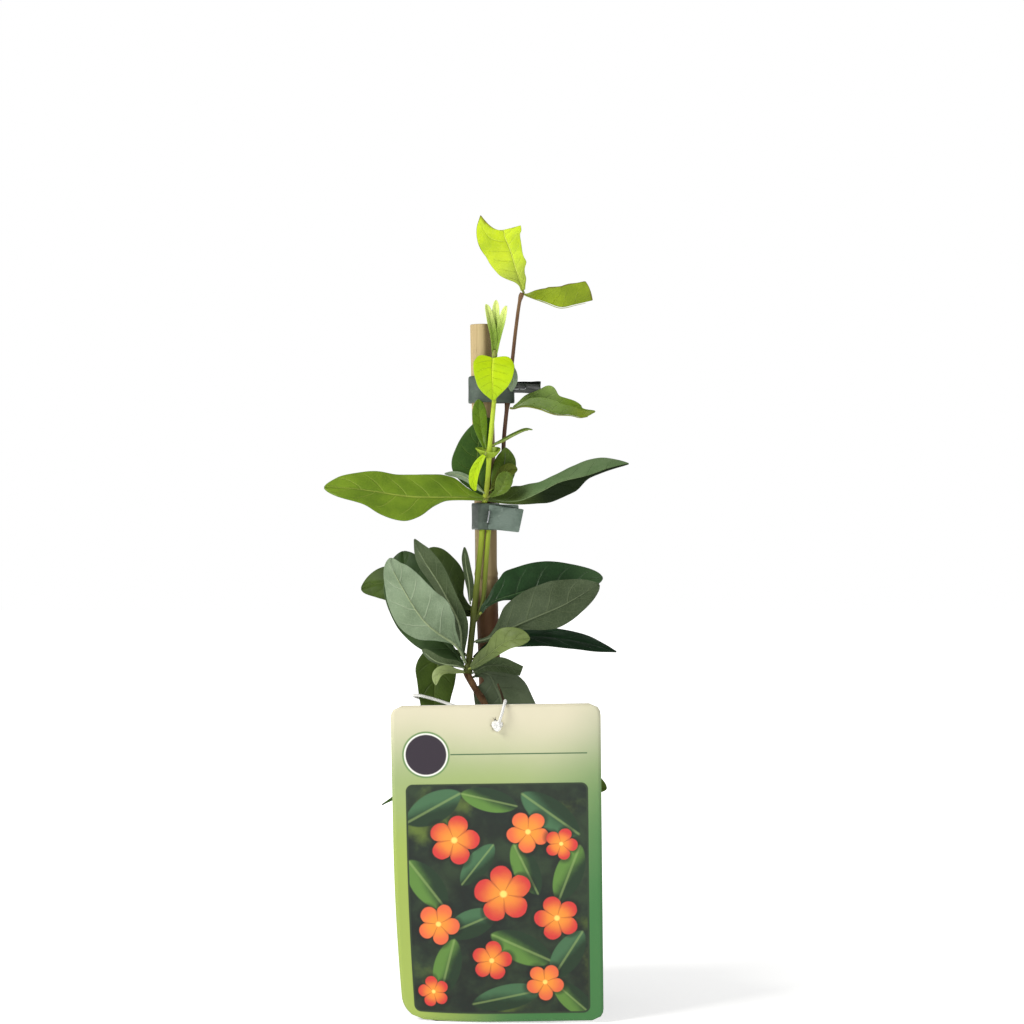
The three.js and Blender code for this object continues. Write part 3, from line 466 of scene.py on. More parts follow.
def new_skin():
    """A mesh whose points remember where they lie round and along a stem."""
    mesh = bmesh.new()
    mesh.verts.layers.float.new("round")
    mesh.verts.layers.float.new("along")
    mesh.loops.layers.uv.new("skin")
    return mesh


def sweep(mesh, route, radius_at, steps, sides=12, index=0, wobble=0.0):
    """Carries a ring along a route; its UV map is (round, along in centimetres)."""
    turned, far = mesh.verts.layers.float["round"], mesh.verts.layers.float["along"]
    skin = mesh.loops.layers.uv["skin"]
    ring = bmesh.ops.create_circle(mesh, segments=sides, radius=1)["verts"]
    for i, v in enumerate(ring):
        v[turned] = i / sides
    edges = list({e for v in ring for e in v.link_edges})
    first_edges = edges
    turn = Vector((0, 0, 1)).rotation_difference(route.way(0))
    way = route.way(0)
    before = Matrix.Identity(4)
    faces = []
    for s in range(steps + 1):
        if s == steps and route.closed:
            break
        along = s / steps
        if s:
            ring, edges, grown = pull(mesh, edges)
            faces += grown
            turn = way.rotation_difference(route.way(along)) @ turn
            way = route.way(along)
        radius = radius_at(along)
        now = (Matrix.Translation(route.at(along)) @ turn.to_matrix().to_4x4()
               @ Matrix.Diagonal((radius, radius, radius, 1)))
        bmesh.ops.transform(mesh, matrix=now @ before.inverted(), verts=ring)
        before = now
        for v in ring:
            v[far] = along * route.length / 10
    if route.closed:
        faces += bmesh.ops.bridge_loops(mesh, edges=edges + first_edges)["faces"]
    else:
        faces += bmesh.ops.edgeloop_fill(mesh, edges=first_edges)["faces"]
        faces += bmesh.ops.edgeloop_fill(mesh, edges=edges)["faces"]
    if wobble:
        for v in {v for f in faces for v in f.verts}:
            v.co += noise.noise_vector(v.co * 0.35) * wobble
    for face in faces:
        face.material_index = index
        wraps = max(v[turned] for v in face.verts) > 0.7
        for loop in face.loops:
            round_it = loop.vert[turned]
            loop[skin].uv = (round_it + 1 if wraps and round_it < 0.3 else round_it, loop.vert[far])
    return faces


bamboo = Finish("bamboo", {"Specular IOR Level": 0.18})
streak = bamboo.speckle(1, 5, 0.65, stretch=(900, 900, 22))
broad = bamboo.speckle(1, 3, 0.5, stretch=(260, 260, 9))
spots = bamboo.speckle(1, 4, 0.6, stretch=(420, 420, 160))
cane_side, _, up_cane = bamboo.axes()
# Painted shade mask: nought above the cane's node, one below it.
painted_shade_below_node = 1 - up_cane.rise(0.160, 0.177)
ring_line = (1 - ((up_cane - 0.1758) / 0.0011).size().rise(0.35, 1.0))
bamboo_tone = bamboo.blend(broad.rise(0.3, 0.7), (0.67, 0.59, 0.43), (0.75, 0.67, 0.50))
bamboo_tone = bamboo.blend(streak.rise(0.45, 0.8) * 0.5, bamboo_tone, (0.58, 0.49, 0.33))
bamboo_tone = bamboo.blend(spots.rise(0.62, 0.78) * 0.45, bamboo_tone, (0.42, 0.34, 0.22))
# Painted shade: the cane's right side, turned away from the key light, is darkened to brown, more so higher
# up.
painted_side_shade = (cane_side * 1000 + up_cane * 25).rise(0.6, 2.8)
bamboo_tone = bamboo.blend(painted_side_shade * 0.75, bamboo_tone, (0.36, 0.29, 0.17))
# Painted shade: the cane below its node is darkened to red-brown for the shadow the leaves cast on it.
bamboo_tone = bamboo.blend(painted_shade_below_node * 0.9, bamboo_tone, (0.31, 0.17, 0.09))
bamboo_tone = bamboo.blend(ring_line * 0.35, bamboo_tone, (0.36, 0.27, 0.17))
bamboo_skin = bamboo.relief(streak + broad * 0.5 - ring_line, 0.0002, 0.7)
cane_tan = bamboo.wear(bamboo_tone, streak * 0.25 + 0.5, bamboo_skin)

pith = Finish("cane_pith", {"Specular IOR Level": 0.2})
pith_grain = pith.cells(1500, "F1")
pith_tone = pith.blend(pith_grain.rise(0.2, 0.7), (0.62, 0.53, 0.38), (0.36, 0.28, 0.18))
cane_pith = pith.wear(pith_tone, pith_grain * 0.2 + 0.75, pith.relief(pith_grain, 0.0003))

CANE = [[-0.6, 0, 12], [-1.5, 0, 70.1], [-3.5, 0, 150.1], [-4.4, 0, 176.1], [-4.6, 0, 194.6],
        [-6, 0, 252.6], [-6.5, 0, 279.6]]
CANE_RADIUS = 4.5
CANE_WALL = 2.9
CANE_NODE = 176.1
cane_line = Route(CANE)


def cane_radius(along):
    above = cane_line.at(along).z - CANE_NODE
    ridge = 0.45 * math.exp(-((above - 0.8) / 1.7) ** 2) + 0.3 * math.exp(-((above + 1.3) / 0.7) ** 2)
    groove = 0.28 * math.exp(-((above + 0.3) / 0.45) ** 2)
    return CANE_RADIUS + ridge - groove


cane = new_skin()
cane_faces = sweep(cane, cane_line, cane_radius, 220, 28)
top_face = max(cane_faces, key=lambda f: f.calc_center_median().z)
bmesh.ops.inset_region(cane, faces=[top_face], thickness=CANE_WALL, depth=0)
BORE_STEP = 4
for _ in range(3):
    pushed = bmesh.ops.extrude_face_region(cane, geom=[top_face])["geom"]
    bmesh.ops.delete(cane, geom=[top_face], context="FACES")
    top_face = next(g for g in pushed if isinstance(g, bmesh.types.BMFace))
    bmesh.ops.translate(cane, vec=(0, 0, -BORE_STEP), verts=top_face.verts)
for face in cane.faces:
    middle = face.calc_center_median()
    in_bore = (middle.xy - cane_line.points[-1].xy).length < 2 and middle.z > 263
    if middle.z > CANE[-1][2] - 0.1 or in_bore:
        face.material_index = 1
for v in cane.verts:
    v.co.x += noise.noise(Vector((v.co.x, v.co.y, v.co.z * 0.12)) * 0.35) * 0.15
cane_piece = piece("bamboo_cane", cane, [cane_tan, cane_pith], "bamboo", "cane")
modify(cane_piece, "BEVEL", width=0.25 * MM, segments=2, limit_method="ANGLE", angle_limit=math.radians(50))


# ------------------------------------------------------------------ woody base and its dry stub
# The old wood at the foot: brown bark with long cracks, coming out of the compost behind the
# label and forking at the top. A dead side twig, grey and split, stands beside it.
def flaking_bark(name, dark, light, grey):
    bark = Finish(name, {"Specular IOR Level": 0.15})
    crack = bark.speckle(1, 5, 0.7, stretch=(1300, 1300, 90))
    patch = bark.speckle(150, 4)
    tone = bark.blend(patch.rise(0.35, 0.65), dark, light)
    tone = bark.blend(crack.rise(0.5, 0.75) * 0.7, tone, grey)
    return bark.wear(tone, crack * 0.2 + 0.65, bark.relief(crack + patch * 0.5, 0.0004))


old_bark = flaking_bark("bark", (0.27, 0.18, 0.11), (0.42, 0.31, 0.20), (0.56, 0.46, 0.34))
dead_bark = flaking_bark("dead_twig", (0.19, 0.15, 0.10), (0.31, 0.25, 0.17), (0.44, 0.38, 0.28))

WOODY = [[-12.1, -10, 138.4], [-11.6, -10, 136.1], [-8.9, -10.8, 131.3], [-5.6, -11.6, 126.1],
         [-2, -12.4, 117.6], [3, -12.2, 93.6], [4.5, -10, 71.6], [4.5, -10, 45.6]]
STUB = [[1.2, -12.4, 105.6], [3, -13.6, 117.6], [2.9, -14.2, 125.6], [1.9, -14.4, 129.2],
        [0.4, -14.6, 133.3]]


def swelling(along, route, start, end, swells=()):
    """Radius that runs from start to end, with a swelling at each node of the stem."""
    radius = start + (end - start) * along
    for place, extra, reach in swells:
        radius += extra * math.exp(-((along - place) * route.length / reach) ** 2)
    return radius


wood = new_skin()
woody_line, stub_line = Route(WOODY), Route(STUB)
WOODY_NODES = [(0.0, 0.4, 2), (0.28, 0.35, 2)]
sweep(wood, woody_line, lambda a: swelling(a, woody_line, 1.35, 1.9, WOODY_NODES), 80, 16, wobble=0.25)
sweep(wood, stub_line, lambda a: swelling(a, stub_line, 0.95, 0.35), 30, 10, index=1, wobble=0.2)
piece("woody_base", wood, [old_bark, dead_bark], "stem_bark", "stem_woody")


# ------------------------------------------------------------------ green stem and side stem
# This year's growth: a round green stem from the fork up through both ties, swollen at each
# pair of leaves, turning lime near its tip. The side stem leaves it above the lower leaves.
MAIN = [[-11.9, -10, 137.1], [-10, -8.7, 155.1], [-8.1, -7.5, 173.6], [-6.5, -6.7, 189.1],
        [-5.7, -6.5, 200.6], [-5, -6.8, 206.6], [-4.2, -8.4, 211.6], [-3.5, -10.6, 218.6], [-3, -12, 227.6],
        [-2, -12, 238.1], [-1, -11.2, 250.1], [-1, -10, 264.9]]
SIDE = [[-9.4, -8.4, 158.1], [-6.8, -7.6, 163.1], [-5.6, -7.1, 167.1], [-4.6, -6.7, 179.1],
        [-3.7, -6.5, 191.1], [-2.9, -6.4, 199.6]]


def stem_finish(name, low, high, bottom, top, flush):
    """Smooth young bark that changes colour with height, flushed with red in patches."""
    stem = Finish(name, {"Specular IOR Level": 0.25})
    line = stem.speckle(1, 4, 0.6, stretch=(1500, 1500, 120))
    patch = stem.speckle(75, 3)
    tone = stem.blend(stem.axes()[2].rise(low, high), bottom, top)
    tone = stem.blend(patch.rise(0.5, 0.75) * 0.5, tone, flush)
    tone = stem.blend(line.rise(0.5, 0.85) * 0.2, tone, (0.74, 0.74, 0.46))
    return stem.wear(tone, line * 0.2 + 0.42, stem.relief(line, 0.00012, 0.7))


green_stem = stem_finish("green_stem", 0.156, 0.222, (0.26, 0.29, 0.08), (0.68, 0.77, 0.21),
                         (0.47, 0.43, 0.18))
stems = new_skin()
main_line, side_line = Route(MAIN), Route(SIDE)
MAIN_NODES = [(0, 0.75, 2.6), (0.19, 0.3, 2.5), (0.55, 0.2, 2.5), (0.7, 0.4, 2)]
sweep(stems, main_line, lambda a: swelling(a, main_line, 1.35, 0.85, MAIN_NODES), 150, 14)
sweep(stems, side_line, lambda a: swelling(a, side_line, 0.95, 1.0, [(0.06, 0.25, 2)]), 50, 12)
piece("green_stems", stems, [green_stem], "stem_green", "stem_main")


# ------------------------------------------------------------------ red stem
# The side stem's upper length is tougher and red-brown. It passes through the lower tie and
# is held against the cane by the upper one.
RED = [[-2.9, -6.4, 200], [-2.8, -6.4, 206.8], [-1.4, -5.4, 210.6], [1, -3, 216.1], [2.5, -1.2, 224.1],
       [2.8, -0.5, 232.1], [4.2, 0, 246.6], [6.1, 0.5, 263.1], [7.7, 1, 277.6], [9.4, 0.4, 289.6],
       [10.3, 0, 292.6]]
red_bark = stem_finish("red_stem", 0.235, 0.292, (0.31, 0.20, 0.15), (0.44, 0.33, 0.22), (0.25, 0.12, 0.11))
red = new_skin()
red_line = Route(RED)
RED_NODES = [(0.52, 0.35, 2), (0.985, 0.35, 1.5)]
sweep(red, red_line, lambda a: swelling(a, red_line, 0.95, 0.7, RED_NODES), 130, 12)
piece("red_stem", red, [red_bark], "stem_red", "stem_red")


# ------------------------------------------------------------------ tape ties
# Soft plastic tape, eleven millimetres wide, wrapped tight round the stems and the cane. Its
# two ends lie together as a tab, held by a steel staple.
TAPE_WIDTH = 11
TAPE_THICK = 0.6
TAB_THICK = 0.4
GAP = 0.3


def tape_finish(name, body, pale, dark, shine=0.3):
    tape = Finish(name, {"Specular IOR Level": shine})
    grain = tape.speckle(1, 4, 0.6, stretch=(260, 260, 1300))
    scuffs = tape.speckle(330, 5, 0.7)
    cloud = tape.speckle(120, 3)
    tone = tape.blend(cloud.rise(0.35, 0.65), body, dark)
    tone = tape.blend(scuffs.rise(0.58, 0.75) * 0.6, tone, pale)
    return tape.wear(tone, scuffs * 0.3 + 0.25, tape.relief(grain + cloud * 1.5, 0.00025))


def tape_loop(circles, foot):
    """The tape's wall follows the hull of what it goes round."""
    rounds = []
    for x, y, radius in circles:
        for i in range(40):
            angle = math.radians(9 * i)
            reach = radius + GAP + TAPE_THICK / 2
            rounds.append(Vector((x + reach * math.cos(angle), y + reach * math.sin(angle))))
    hull = [rounds[i] for i in geometry.convex_hull_2d(rounds)]
    outline = Route([(p.x, p.y, foot) for p in hull], closed=True)
    mesh = bmesh.new()
    around, rows = 90, 6
    ring = [mesh.verts.new(outline.at(i / around)) for i in range(around)]
    edges = [mesh.edges.new((a, b)) for a, b in zip(ring, ring[1:] + ring[:1])]
    for _ in range(rows):
        verts, edges, _ = pull(mesh, edges)
        bmesh.ops.translate(mesh, vec=(0, 0, TAPE_WIDTH / rows), verts=verts)
    for v in mesh.verts:
        edge_lift = abs((v.co.z - foot) / TAPE_WIDTH - 0.5) * 2
        out = (v.co - Vector((circles[0][0], circles[0][1], v.co.z))).normalized()
        v.co += out * (noise.noise(v.co * 0.3) * 0.2 + 0.12 * edge_lift ** 4)
        v.co.z += noise.noise(v.co * 0.2 + Vector((9, 0, 0))) * 0.35
    return mesh


def tape_layer(mesh, corners, y, bow):
    """One end of the tape: a soft sheet stretched between four corners (x, z)."""
    made = bmesh.ops.create_grid(mesh, x_segments=14, y_segments=12, size=1)["verts"]
    low_left, low_right, high_right, high_left = [Vector(c) for c in corners]
    for v in made:
        a, b = (v.co.x + 1) / 2, (v.co.y + 1) / 2
        spot = low_left.lerp(low_right, a).lerp(high_left.lerp(high_right, a), b)
        ripple = noise.noise(Vector((spot.x, y, spot.y)) * 0.22) * 0.5
        v.co = (spot.x, y + bow * (a * a) + ripple * a, spot.y)
    faces = {f for v in made for f in v.link_faces}
    bmesh.ops.solidify(mesh, geom=list(faces), thickness=TAB_THICK)


lower_tape = tape_finish("tape_grey_green", (0.41, 0.47, 0.43), (0.56, 0.61, 0.57), (0.31, 0.37, 0.33))
# Painted shade: a darker copy of the same tape, standing for the shade the loops sit in.
shaded_wrap_tape = tape_finish("tape_wrap_painted_shade", (0.30, 0.35, 0.31), (0.42, 0.47, 0.43), (0.22, 0.26, 0.23))
upper_tape = tape_finish("tape_dark", (0.17, 0.20, 0.17), (0.28, 0.31, 0.28), (0.12, 0.14, 0.12), 0.08)


def tape_piece(name, mesh, finish, node):
    made = piece(name, mesh, [finish], "tape", node, outward=False)
    modify(made, "SOLIDIFY", thickness=TAPE_THICK * MM, offset=0)
    soften(made)


# Both loops wear the darker tape copy; its darkness is painted shade.
lower_loop = tape_loop([(-4.7, 0, 4.75), (-5.6, -6.6, 1.55), (-2.9, -6.4, 1.2)], 195.4)
tape_piece("tie_lower_loop", lower_loop, shaded_wrap_tape, "tie_lower")
upper_loop = tape_loop([(-6, 0, 4.75), (4.8, 0.2, 1.5)], 247.2)
tape_piece("tie_upper_loop", upper_loop, shaded_wrap_tape, "tie_upper")

lower_tab = bmesh.new()
tape_layer(lower_tab, [(-3.6, 196), (9, 194.6), (11, 204), (-3.3, 206)], -9.2, -0.3)
tape_layer(lower_tab, [(-3.4, 196.5), (8.6, 195.4), (8.9, 205.8), (-3.1, 206.2)], -8.5, 0.1)
soften(piece("tie_lower_tab", lower_tab, [lower_tape], "tape", None))

upper_tab = bmesh.new()
tape_layer(upper_tab, [(-5.8, -5), (6, -5.4), (5.6, 5), (-6, 5.2)], -0.25, -0.5)
tape_layer(upper_tab, [(-5.8, -5), (5.4, -5), (5.8, 5.2), (-6, 5.2)], 0.35, 0.2)
lie_down = Matrix.Translation((12.2, -1.4, 253.8)) @ Matrix.Rotation(math.radians(70), 4, "X")
bmesh.ops.transform(upper_tab, matrix=lie_down, verts=upper_tab.verts)
soften(piece("tie_upper_tab", upper_tab, [upper_tape], "tape", None))


# ------------------------------------------------------------------ staples
# Bright steel wire pressed through both layers of the tab, its legs folded over at the back.
WIRE_RADIUS = 0.3
steel = Finish("staple_wire", {"Metallic": 1.0})
drawn = steel.speckle(1800, 2)
steel_bright = steel.wear(steel.blend(drawn, (0.58, 0.59, 0.60), (0.72, 0.73, 0.74)), drawn * 0.2 + 0.22)


def staple(name, node, middle, along, out, length):
    """A bent wire: crown on the face of the tab, legs through it."""
    along, out, middle = Vector(along).normalized(), Vector(out).normalized(), Vector(middle)
    leg = [(2.2, 1.9), (0.4, 1.9), (0, 1.2), (0.15, 0.15), (0.6, 0)]
    bends = [middle - along * length / 2 + along * inward - out * deep for inward, deep in leg] + [middle]
    bends += [middle + along * length / 2 - along * inward - out * deep for inward, deep in leg[::-1]]
    wire = new_skin()
    sweep(wire, Route(bends), lambda a: WIRE_RADIUS, 60, 10)
    piece(name, wire, [steel_bright], "steel_wire", node)


lean = math.radians(10)
leaning = (math.sin(lean), 0, math.cos(lean))
staple("staple_lower_wire", "staple_lower", (-3.4, -9.75, 200.8), leaning, (0, -1, 0), 5.2)
staple("staple_upper_wire", "staple_upper", (9.2, -2, 254.9), (1, 0, 0), (0, 0.34, 0.94), 5)


# ------------------------------------------------------------------ the shoot's collar
# The topmost pair of leaves on the main stem is joined round it in a small lime cup.
def leaf_finish(name, body, shade, vein, gloss=0.45, coat=0.0, veins=6.0, under=False, net=0.15, branch=0.32,
                burnt=None, half=None, foot=None, tip=None, shine=0.22):
    """Leaf skin: pale midrib, side veins that arch to the tip, a fine net, and a mottled body.

    half colours the right half; foot and tip are (colour, from, to) for the two ends.
    """
    leaf = Finish(name, {"Specular IOR Level": shine, "Coat Roughness": 0.3, "Coat Weight": coat})
    across, along = leaf.map()
    signed = across * 2 - 1
    out = signed.size()
    cloud = leaf.speckle(110, 4)
    blotch = leaf.speckle(38, 2)
    grain = leaf.speckle(1500, 2)
    rib = 1 - (out / (0.080 - along * 0.055)).rise(0.4, 1.0)
    beat = (along - (out ** 1.25) * 0.17) * veins + cloud * 0.28 + signed.rise(-0.01, 0.01) * 0.42
    side = ((beat.part() - 0.5) * 2).size()
    branches = side.rise(0.87, 1.0) * (1 - out.rise(0.5, 1.0)) * along.rise(0.0, 0.12)
    mesh_line = (1 - leaf.cells(760).rise(0.01, 0.09)) * net
    lines = (branches * branch).most(mesh_line * 0.6)
    tone = leaf.blend(cloud.rise(0.3, 0.7), body, shade)
    if half:
        tone = leaf.blend(signed.rise(-0.05, 0.05), tone, half)
        lines = lines * (1 - signed.rise(-0.05, 0.05) * 0.8)
    if foot:
        tone = leaf.blend(1 - along.rise(foot[1], foot[2]), tone, foot[0])
    if tip:
        tone = leaf.blend(along.rise(tip[1], tip[2]), tone, tip[0])
    tone = leaf.blend(blotch.rise(0.4, 0.75) * 0.6, tone, (0.86, 0.89, 0.84), "MULTIPLY")
    tone = leaf.blend(lines, tone, vein)
    tone = leaf.blend(rib * 0.6, tone, vein)
    if burnt:
        scorch = (along + cloud * 0.12).rise(1.03, 1.08).most((out + cloud * 0.12).rise(1.03, 1.08) * 0.8)
        tone = leaf.blend(scorch, tone, burnt)
    lift = 1.0 if under else -1.0
    height = (rib * 1.2 + branches * 0.9 + mesh_line * 0.5) * lift + cloud * 0.6 + grain * 0.12
    rough = cloud * 0.12 + rib * 0.1 + (gloss - 0.05)
    return leaf.wear(tone, rough, leaf.relief(height, 0.00025, 0.8))


def stalk_finish(name, body, flush):
    """Leaf stalks and the ribs under the blades."""
    stalk = Finish(name, {"Specular IOR Level": 0.35})
    patch = stalk.speckle(260, 3)
    tone = stalk.blend(patch.rise(0.4, 0.7), body, flush)
    return stalk.wear(tone, patch * 0.15 + 0.42, stalk.relief(patch, 0.0001))


bright_lime = leaf_finish("leaf_bright_lime", (0.70, 0.81, 0.01), (0.62, 0.75, 0.01), (0.80, 0.87, 0.22),
                          net=0.12, branch=0.06)
collar_lime = leaf_finish("leaf_collar_lime", (0.62, 0.72, 0.22), (0.52, 0.62, 0.16), (0.72, 0.80, 0.42),
                          net=0.1, branch=0.1)
collar = bmesh.new()
collar_profile = [(2.2, -3.2), (2.9, -2.9), (3.8, -1.7), (4.5, -0.6), (4.75, 0.1), (4.5, 0.15), (4.1, -0.5),
                  (3.3, -1.6), (2.5, -2.2), (2.2, -2.6)]
ring = [collar.verts.new((r, 0, z)) for r, z in collar_profile]
strip = [collar.edges.new((a, b)) for a, b in zip(ring, ring[1:] + ring[:1])]
bmesh.ops.spin(collar, geom=ring + strip, cent=(0, 0, 0), axis=(0, 0, 1), angle=math.tau, steps=28,
               use_merge=True)
for v in collar.verts:
    angle = math.atan2(v.co.y, v.co.x)
    reach = max(0, v.co.xy.length - 3) / 1.7
    v.co.z += 0.45 * reach * math.sin(2 * angle + 0.6)
    v.co.xy *= 1 + 0.05 * reach * math.cos(3 * angle)
    v.co.x -= 1.1 * reach * max(0, -math.cos(angle))
stand = (Matrix.Translation((-3.25, -11.9, 228.2)) @ Matrix.Rotation(math.radians(3), 4, "Y")
         @ Matrix.Rotation(math.radians(14), 4, "X"))
bmesh.ops.transform(collar, matrix=stand, verts=collar.verts)
bmesh.ops.remove_doubles(collar, verts=collar.verts, dist=0.001)
collar.loops.layers.uv.new("skin")
for face in collar.faces:
    for loop in face.loops:
        loop[collar.loops.layers.uv["skin"]].uv = (0.2, 0.5)
soften(piece("collar_cup", collar, [collar_lime], "leaf_lime", "leaf_collar"))


# ------------------------------------------------------------------ shoot tip
# Three young leaves still closed together over the growing bud.
BLADE_THICK = 0.46


def blade(mesh, rib, face, half=None, left=None, right=None, cup=5, wave=(0, 1), horn=(0, 0), heart=0,
          blunt=False, veins=6.0, quilt=0.16, size=(16, 32), foot=1.5, stalk=0.55, crease=0.3, tremble=0.35):
    """Grows one leaf: a blade between two skins, and the rib that carries on as its stalk.

    rib runs from base to tip; half, or left and right, are half widths along it; face is where
    the upper side looks, or where it looks at the base and at the tip; cup lifts the halves, in
    degrees.
    """
    skin = mesh.loops.layers.uv["skin"]
    route = Route(rib)
    looks = [Vector(way) for way in (face if isinstance(face[0], tuple) else (face, face))]
    cups = cup if isinstance(cup, tuple) else (cup, cup)
    sides = [Route([(i, value, 0) for i, value in enumerate(half or values)]) for values in (left, right)]

    def frame_at(t):
        forward = route.way(t)
        side = forward.cross(looks[0].lerp(looks[1], t).normalized()).normalized()
        return route.at(t), forward, side, side.cross(forward).normalized()

    frames = {}
    where = {}
    skins = []
    for lift in (1, -1):
        made = bmesh.ops.create_grid(mesh, x_segments=size[0], y_segments=size[1], size=1)["verts"]
        faces = list({f for v in made for f in v.link_faces})
        for v in made:
            across = v.co.x
            step = round((v.co.y + 1) / 2, 6)
            t = 0.5 * step + 0.25 * (1 - math.cos(math.pi * step))
            if t not in frames:
                frames[t] = frame_at(t), [line.spot(t).y for line in sides]
            (centre, forward, side, up), halves = frames[t]
            is_right = across > 0
            round_end = 1 if blunt else math.sqrt(1 - 0.985 * t ** 14)
            width = max(0.3, halves[is_right] * round_end)
            bend = math.radians(cups[is_right]) * min(1, 4 * t)
            reach = abs(across) * width
            ripple = wave[0] * math.sin(math.tau * wave[1] * t + across) * across ** 2 * math.sin(math.pi * t)
            beat = (t - 0.17 * abs(across) ** 1.25) * veins + (0.42 if is_right else 0)
            swell = (quilt * math.sin(math.pi * (beat % 1)) ** 0.7 * min(1, 6 * abs(across))
                     * (1 - across ** 6))
            groove = crease * math.exp(-(across * width / 0.7) ** 2) * (1 - 0.6 * t)
            lobe = heart * abs(across) ** 0.7 * (1 - abs(across) ** 5) * (1 - t) ** 4
            lean = horn[is_right] * abs(across) ** 2.5 * t ** 6 - lobe
            body = BLADE_THICK * (0.5 - 0.28 * across ** 4) * lift
            place = (centre + side * math.copysign(reach * math.cos(bend), across)
                     + up * (reach * math.sin(bend) + ripple) + forward * lean)
            shake = noise.noise(place * 0.16) * tremble * min(1, 3 * t) * abs(across)
            v.co = place + up * (swell - groove + shake + body)
            where[v] = ((across + 1) / 2, t)
        if lift < 0:
            bmesh.ops.reverse_faces(mesh, faces=faces)
            for f in faces:
                f.material_index = 1
        skins.append(faces)
    rims = [e for faces in skins for e in {e for f in faces for e in f.edges} if e.is_boundary]
    rim_faces = bmesh.ops.bridge_loops(mesh, edges=rims)["faces"]
    for f in rim_faces:
        f.material_index = 1
    for f in skins[0] + skins[1] + rim_faces:
        for loop in f.loops:
            loop[skin].uv = where[loop.vert]
    if stalk:
        points = []
        for i in range(11):
            t = 0.9 * i / 10
            centre, forward, side, up = frame_at(t)
            if not i:
                points.append(centre - forward * foot)
            points.append(centre - up * (0.28 + crease * (1 - 0.6 * t)))
        line = Route(points)
        sweep(mesh, line, lambda a: stalk * (1 - 0.72 * a), 34, 8, index=2)


def leaf(name, top, under, rib_skin, slot, **shape):
    mesh = new_skin()
    blade(mesh, **shape)
    soften(piece("blade_" + name, mesh, [top, under, rib_skin], slot, "leaf_" + name))


shoot_green = leaf_finish("leaf_shoot", (0.56, 0.67, 0.26), (0.48, 0.60, 0.20), (0.70, 0.78, 0.42),
                          branch=0.15, tip=((0.85, 0.91, 0.52), 0.45, 0.95))
young_under = leaf_finish("leaf_young_under", (0.56, 0.66, 0.32), (0.48, 0.58, 0.26), (0.70, 0.77, 0.48),
                          under=True)
green_stalk = stalk_finish("leaf_stalk", (0.52, 0.57, 0.24), (0.44, 0.44, 0.18))
pale_stalk = stalk_finish("leaf_rib_pale", (0.58, 0.64, 0.48), (0.50, 0.56, 0.40))
grey_stalk = stalk_finish("leaf_rib_grey", (0.36, 0.41, 0.29), (0.31, 0.36, 0.25))

shoot = new_skin()
SHOOT_BLADES = [
    ([[-1, -10, 266.2], [-1.7, -10.8, 274.6], [-3, -11.2, 281], [-4.4, -11.4, 287]], (0.5, -0.85, 0),
     [0.9, 1.7, 2, 1.6]),
    ([[-0.9, -9.6, 266.2], [-0.7, -9.6, 276.6], [-0.3, -10.2, 288.8]], (0, -1, 0.1), [0.9, 1.8, 1.9, 1.4]),
    ([[-0.8, -10.2, 266.2], [1, -10.4, 274.6], [2.6, -10.6, 281], [3.9, -10.8, 286.4]], (-0.5, -0.85, 0),
     [0.9, 1.7, 1.9, 1.4]),
]
for rib, face, half in SHOOT_BLADES:
    blade(shoot, rib, face, half, cup=25, size=(10, 20), stalk=0.4, foot=0.8, quilt=0.06, tremble=0.2)
bud_line = Route([[-0.95, -10, 264.6], [-0.9, -10, 266.3], [-0.8, -10.1, 268.6]])
sweep(shoot, bud_line, lambda a: 0.85 + 0.35 * math.sin(math.pi * a), 12, 12, index=2)
soften(piece("shoot_leaves", shoot, [shoot_green, shoot_green, green_stalk], "leaf_lime", "shoot_tip"))


# ------------------------------------------------------------------ top leaves of the red stem
# The last pair: thin, lime yellow, browned at the margins; the right one is folded into a
# trough and the upper one stands up with its tip cut across.
SCORCH = (0.36, 0.27, 0.07)
young_lime = leaf_finish("leaf_young_lime", (0.82, 0.90, 0.15), (0.70, 0.80, 0.17), (0.86, 0.90, 0.42),
                         burnt=SCORCH, gloss=0.42, branch=0.2, net=0.25, foot=((0.64, 0.71, 0.24), 0.15, 0.6))
lime_under = leaf_finish("leaf_lime_under", (0.54, 0.62, 0.05), (0.46, 0.54, 0.03), (0.66, 0.71, 0.22),
                         under=True, burnt=SCORCH, branch=0.2)
leaf("top", young_lime, lime_under, green_stalk, "leaf_lime", size=(20, 34), horn=(8, 0.3), blunt=True,
     rib=[[10.6, -0.4, 293.55], [8.8, -2, 298.9], [7.1, -3.5, 304.5], [5.3, -5, 310.2], [3.4, -5.4, 314.6],
          [2.7, -5.2, 317.9]], left=[0.9, 0.9, 2.2, 5, 7.4, 8.5, 9.5, 10.3, 10.8, 11.5, 11.8, 11, 8.2],
     right=[1, 1.9, 2.9, 3, 3.6, 5, 4.4, 4.4, 4.9, 5.6, 6.3, 7.1, 7.3], face=((0, -1, 0.1), (0, -0.9, 0.4)),
     cup=8, wave=(0.5, 2))
leaf("top_right", lime_under, lime_under, green_stalk, "leaf_lime", size=(18, 36), horn=(-1.8, -1.8),
     blunt=True, stalk=0.3, crease=0.1,
     rib=[[11.4, -0.2, 292.1], [14.2, -1.4, 290.8], [20, -3.4, 288.5], [26.1, -5, 286.2], [31.4, -5, 287.2],
          [39.2, -4, 289.1]], left=[0.8, 5.6, 8.4, 10.6, 9.1, 9.3, 9],
     right=[0.8, 4.8, 6.4, 9.4, 9.1, 9.3, 9], face=(0, 0, 1), cup=(62, 66), wave=(0.4, 3))


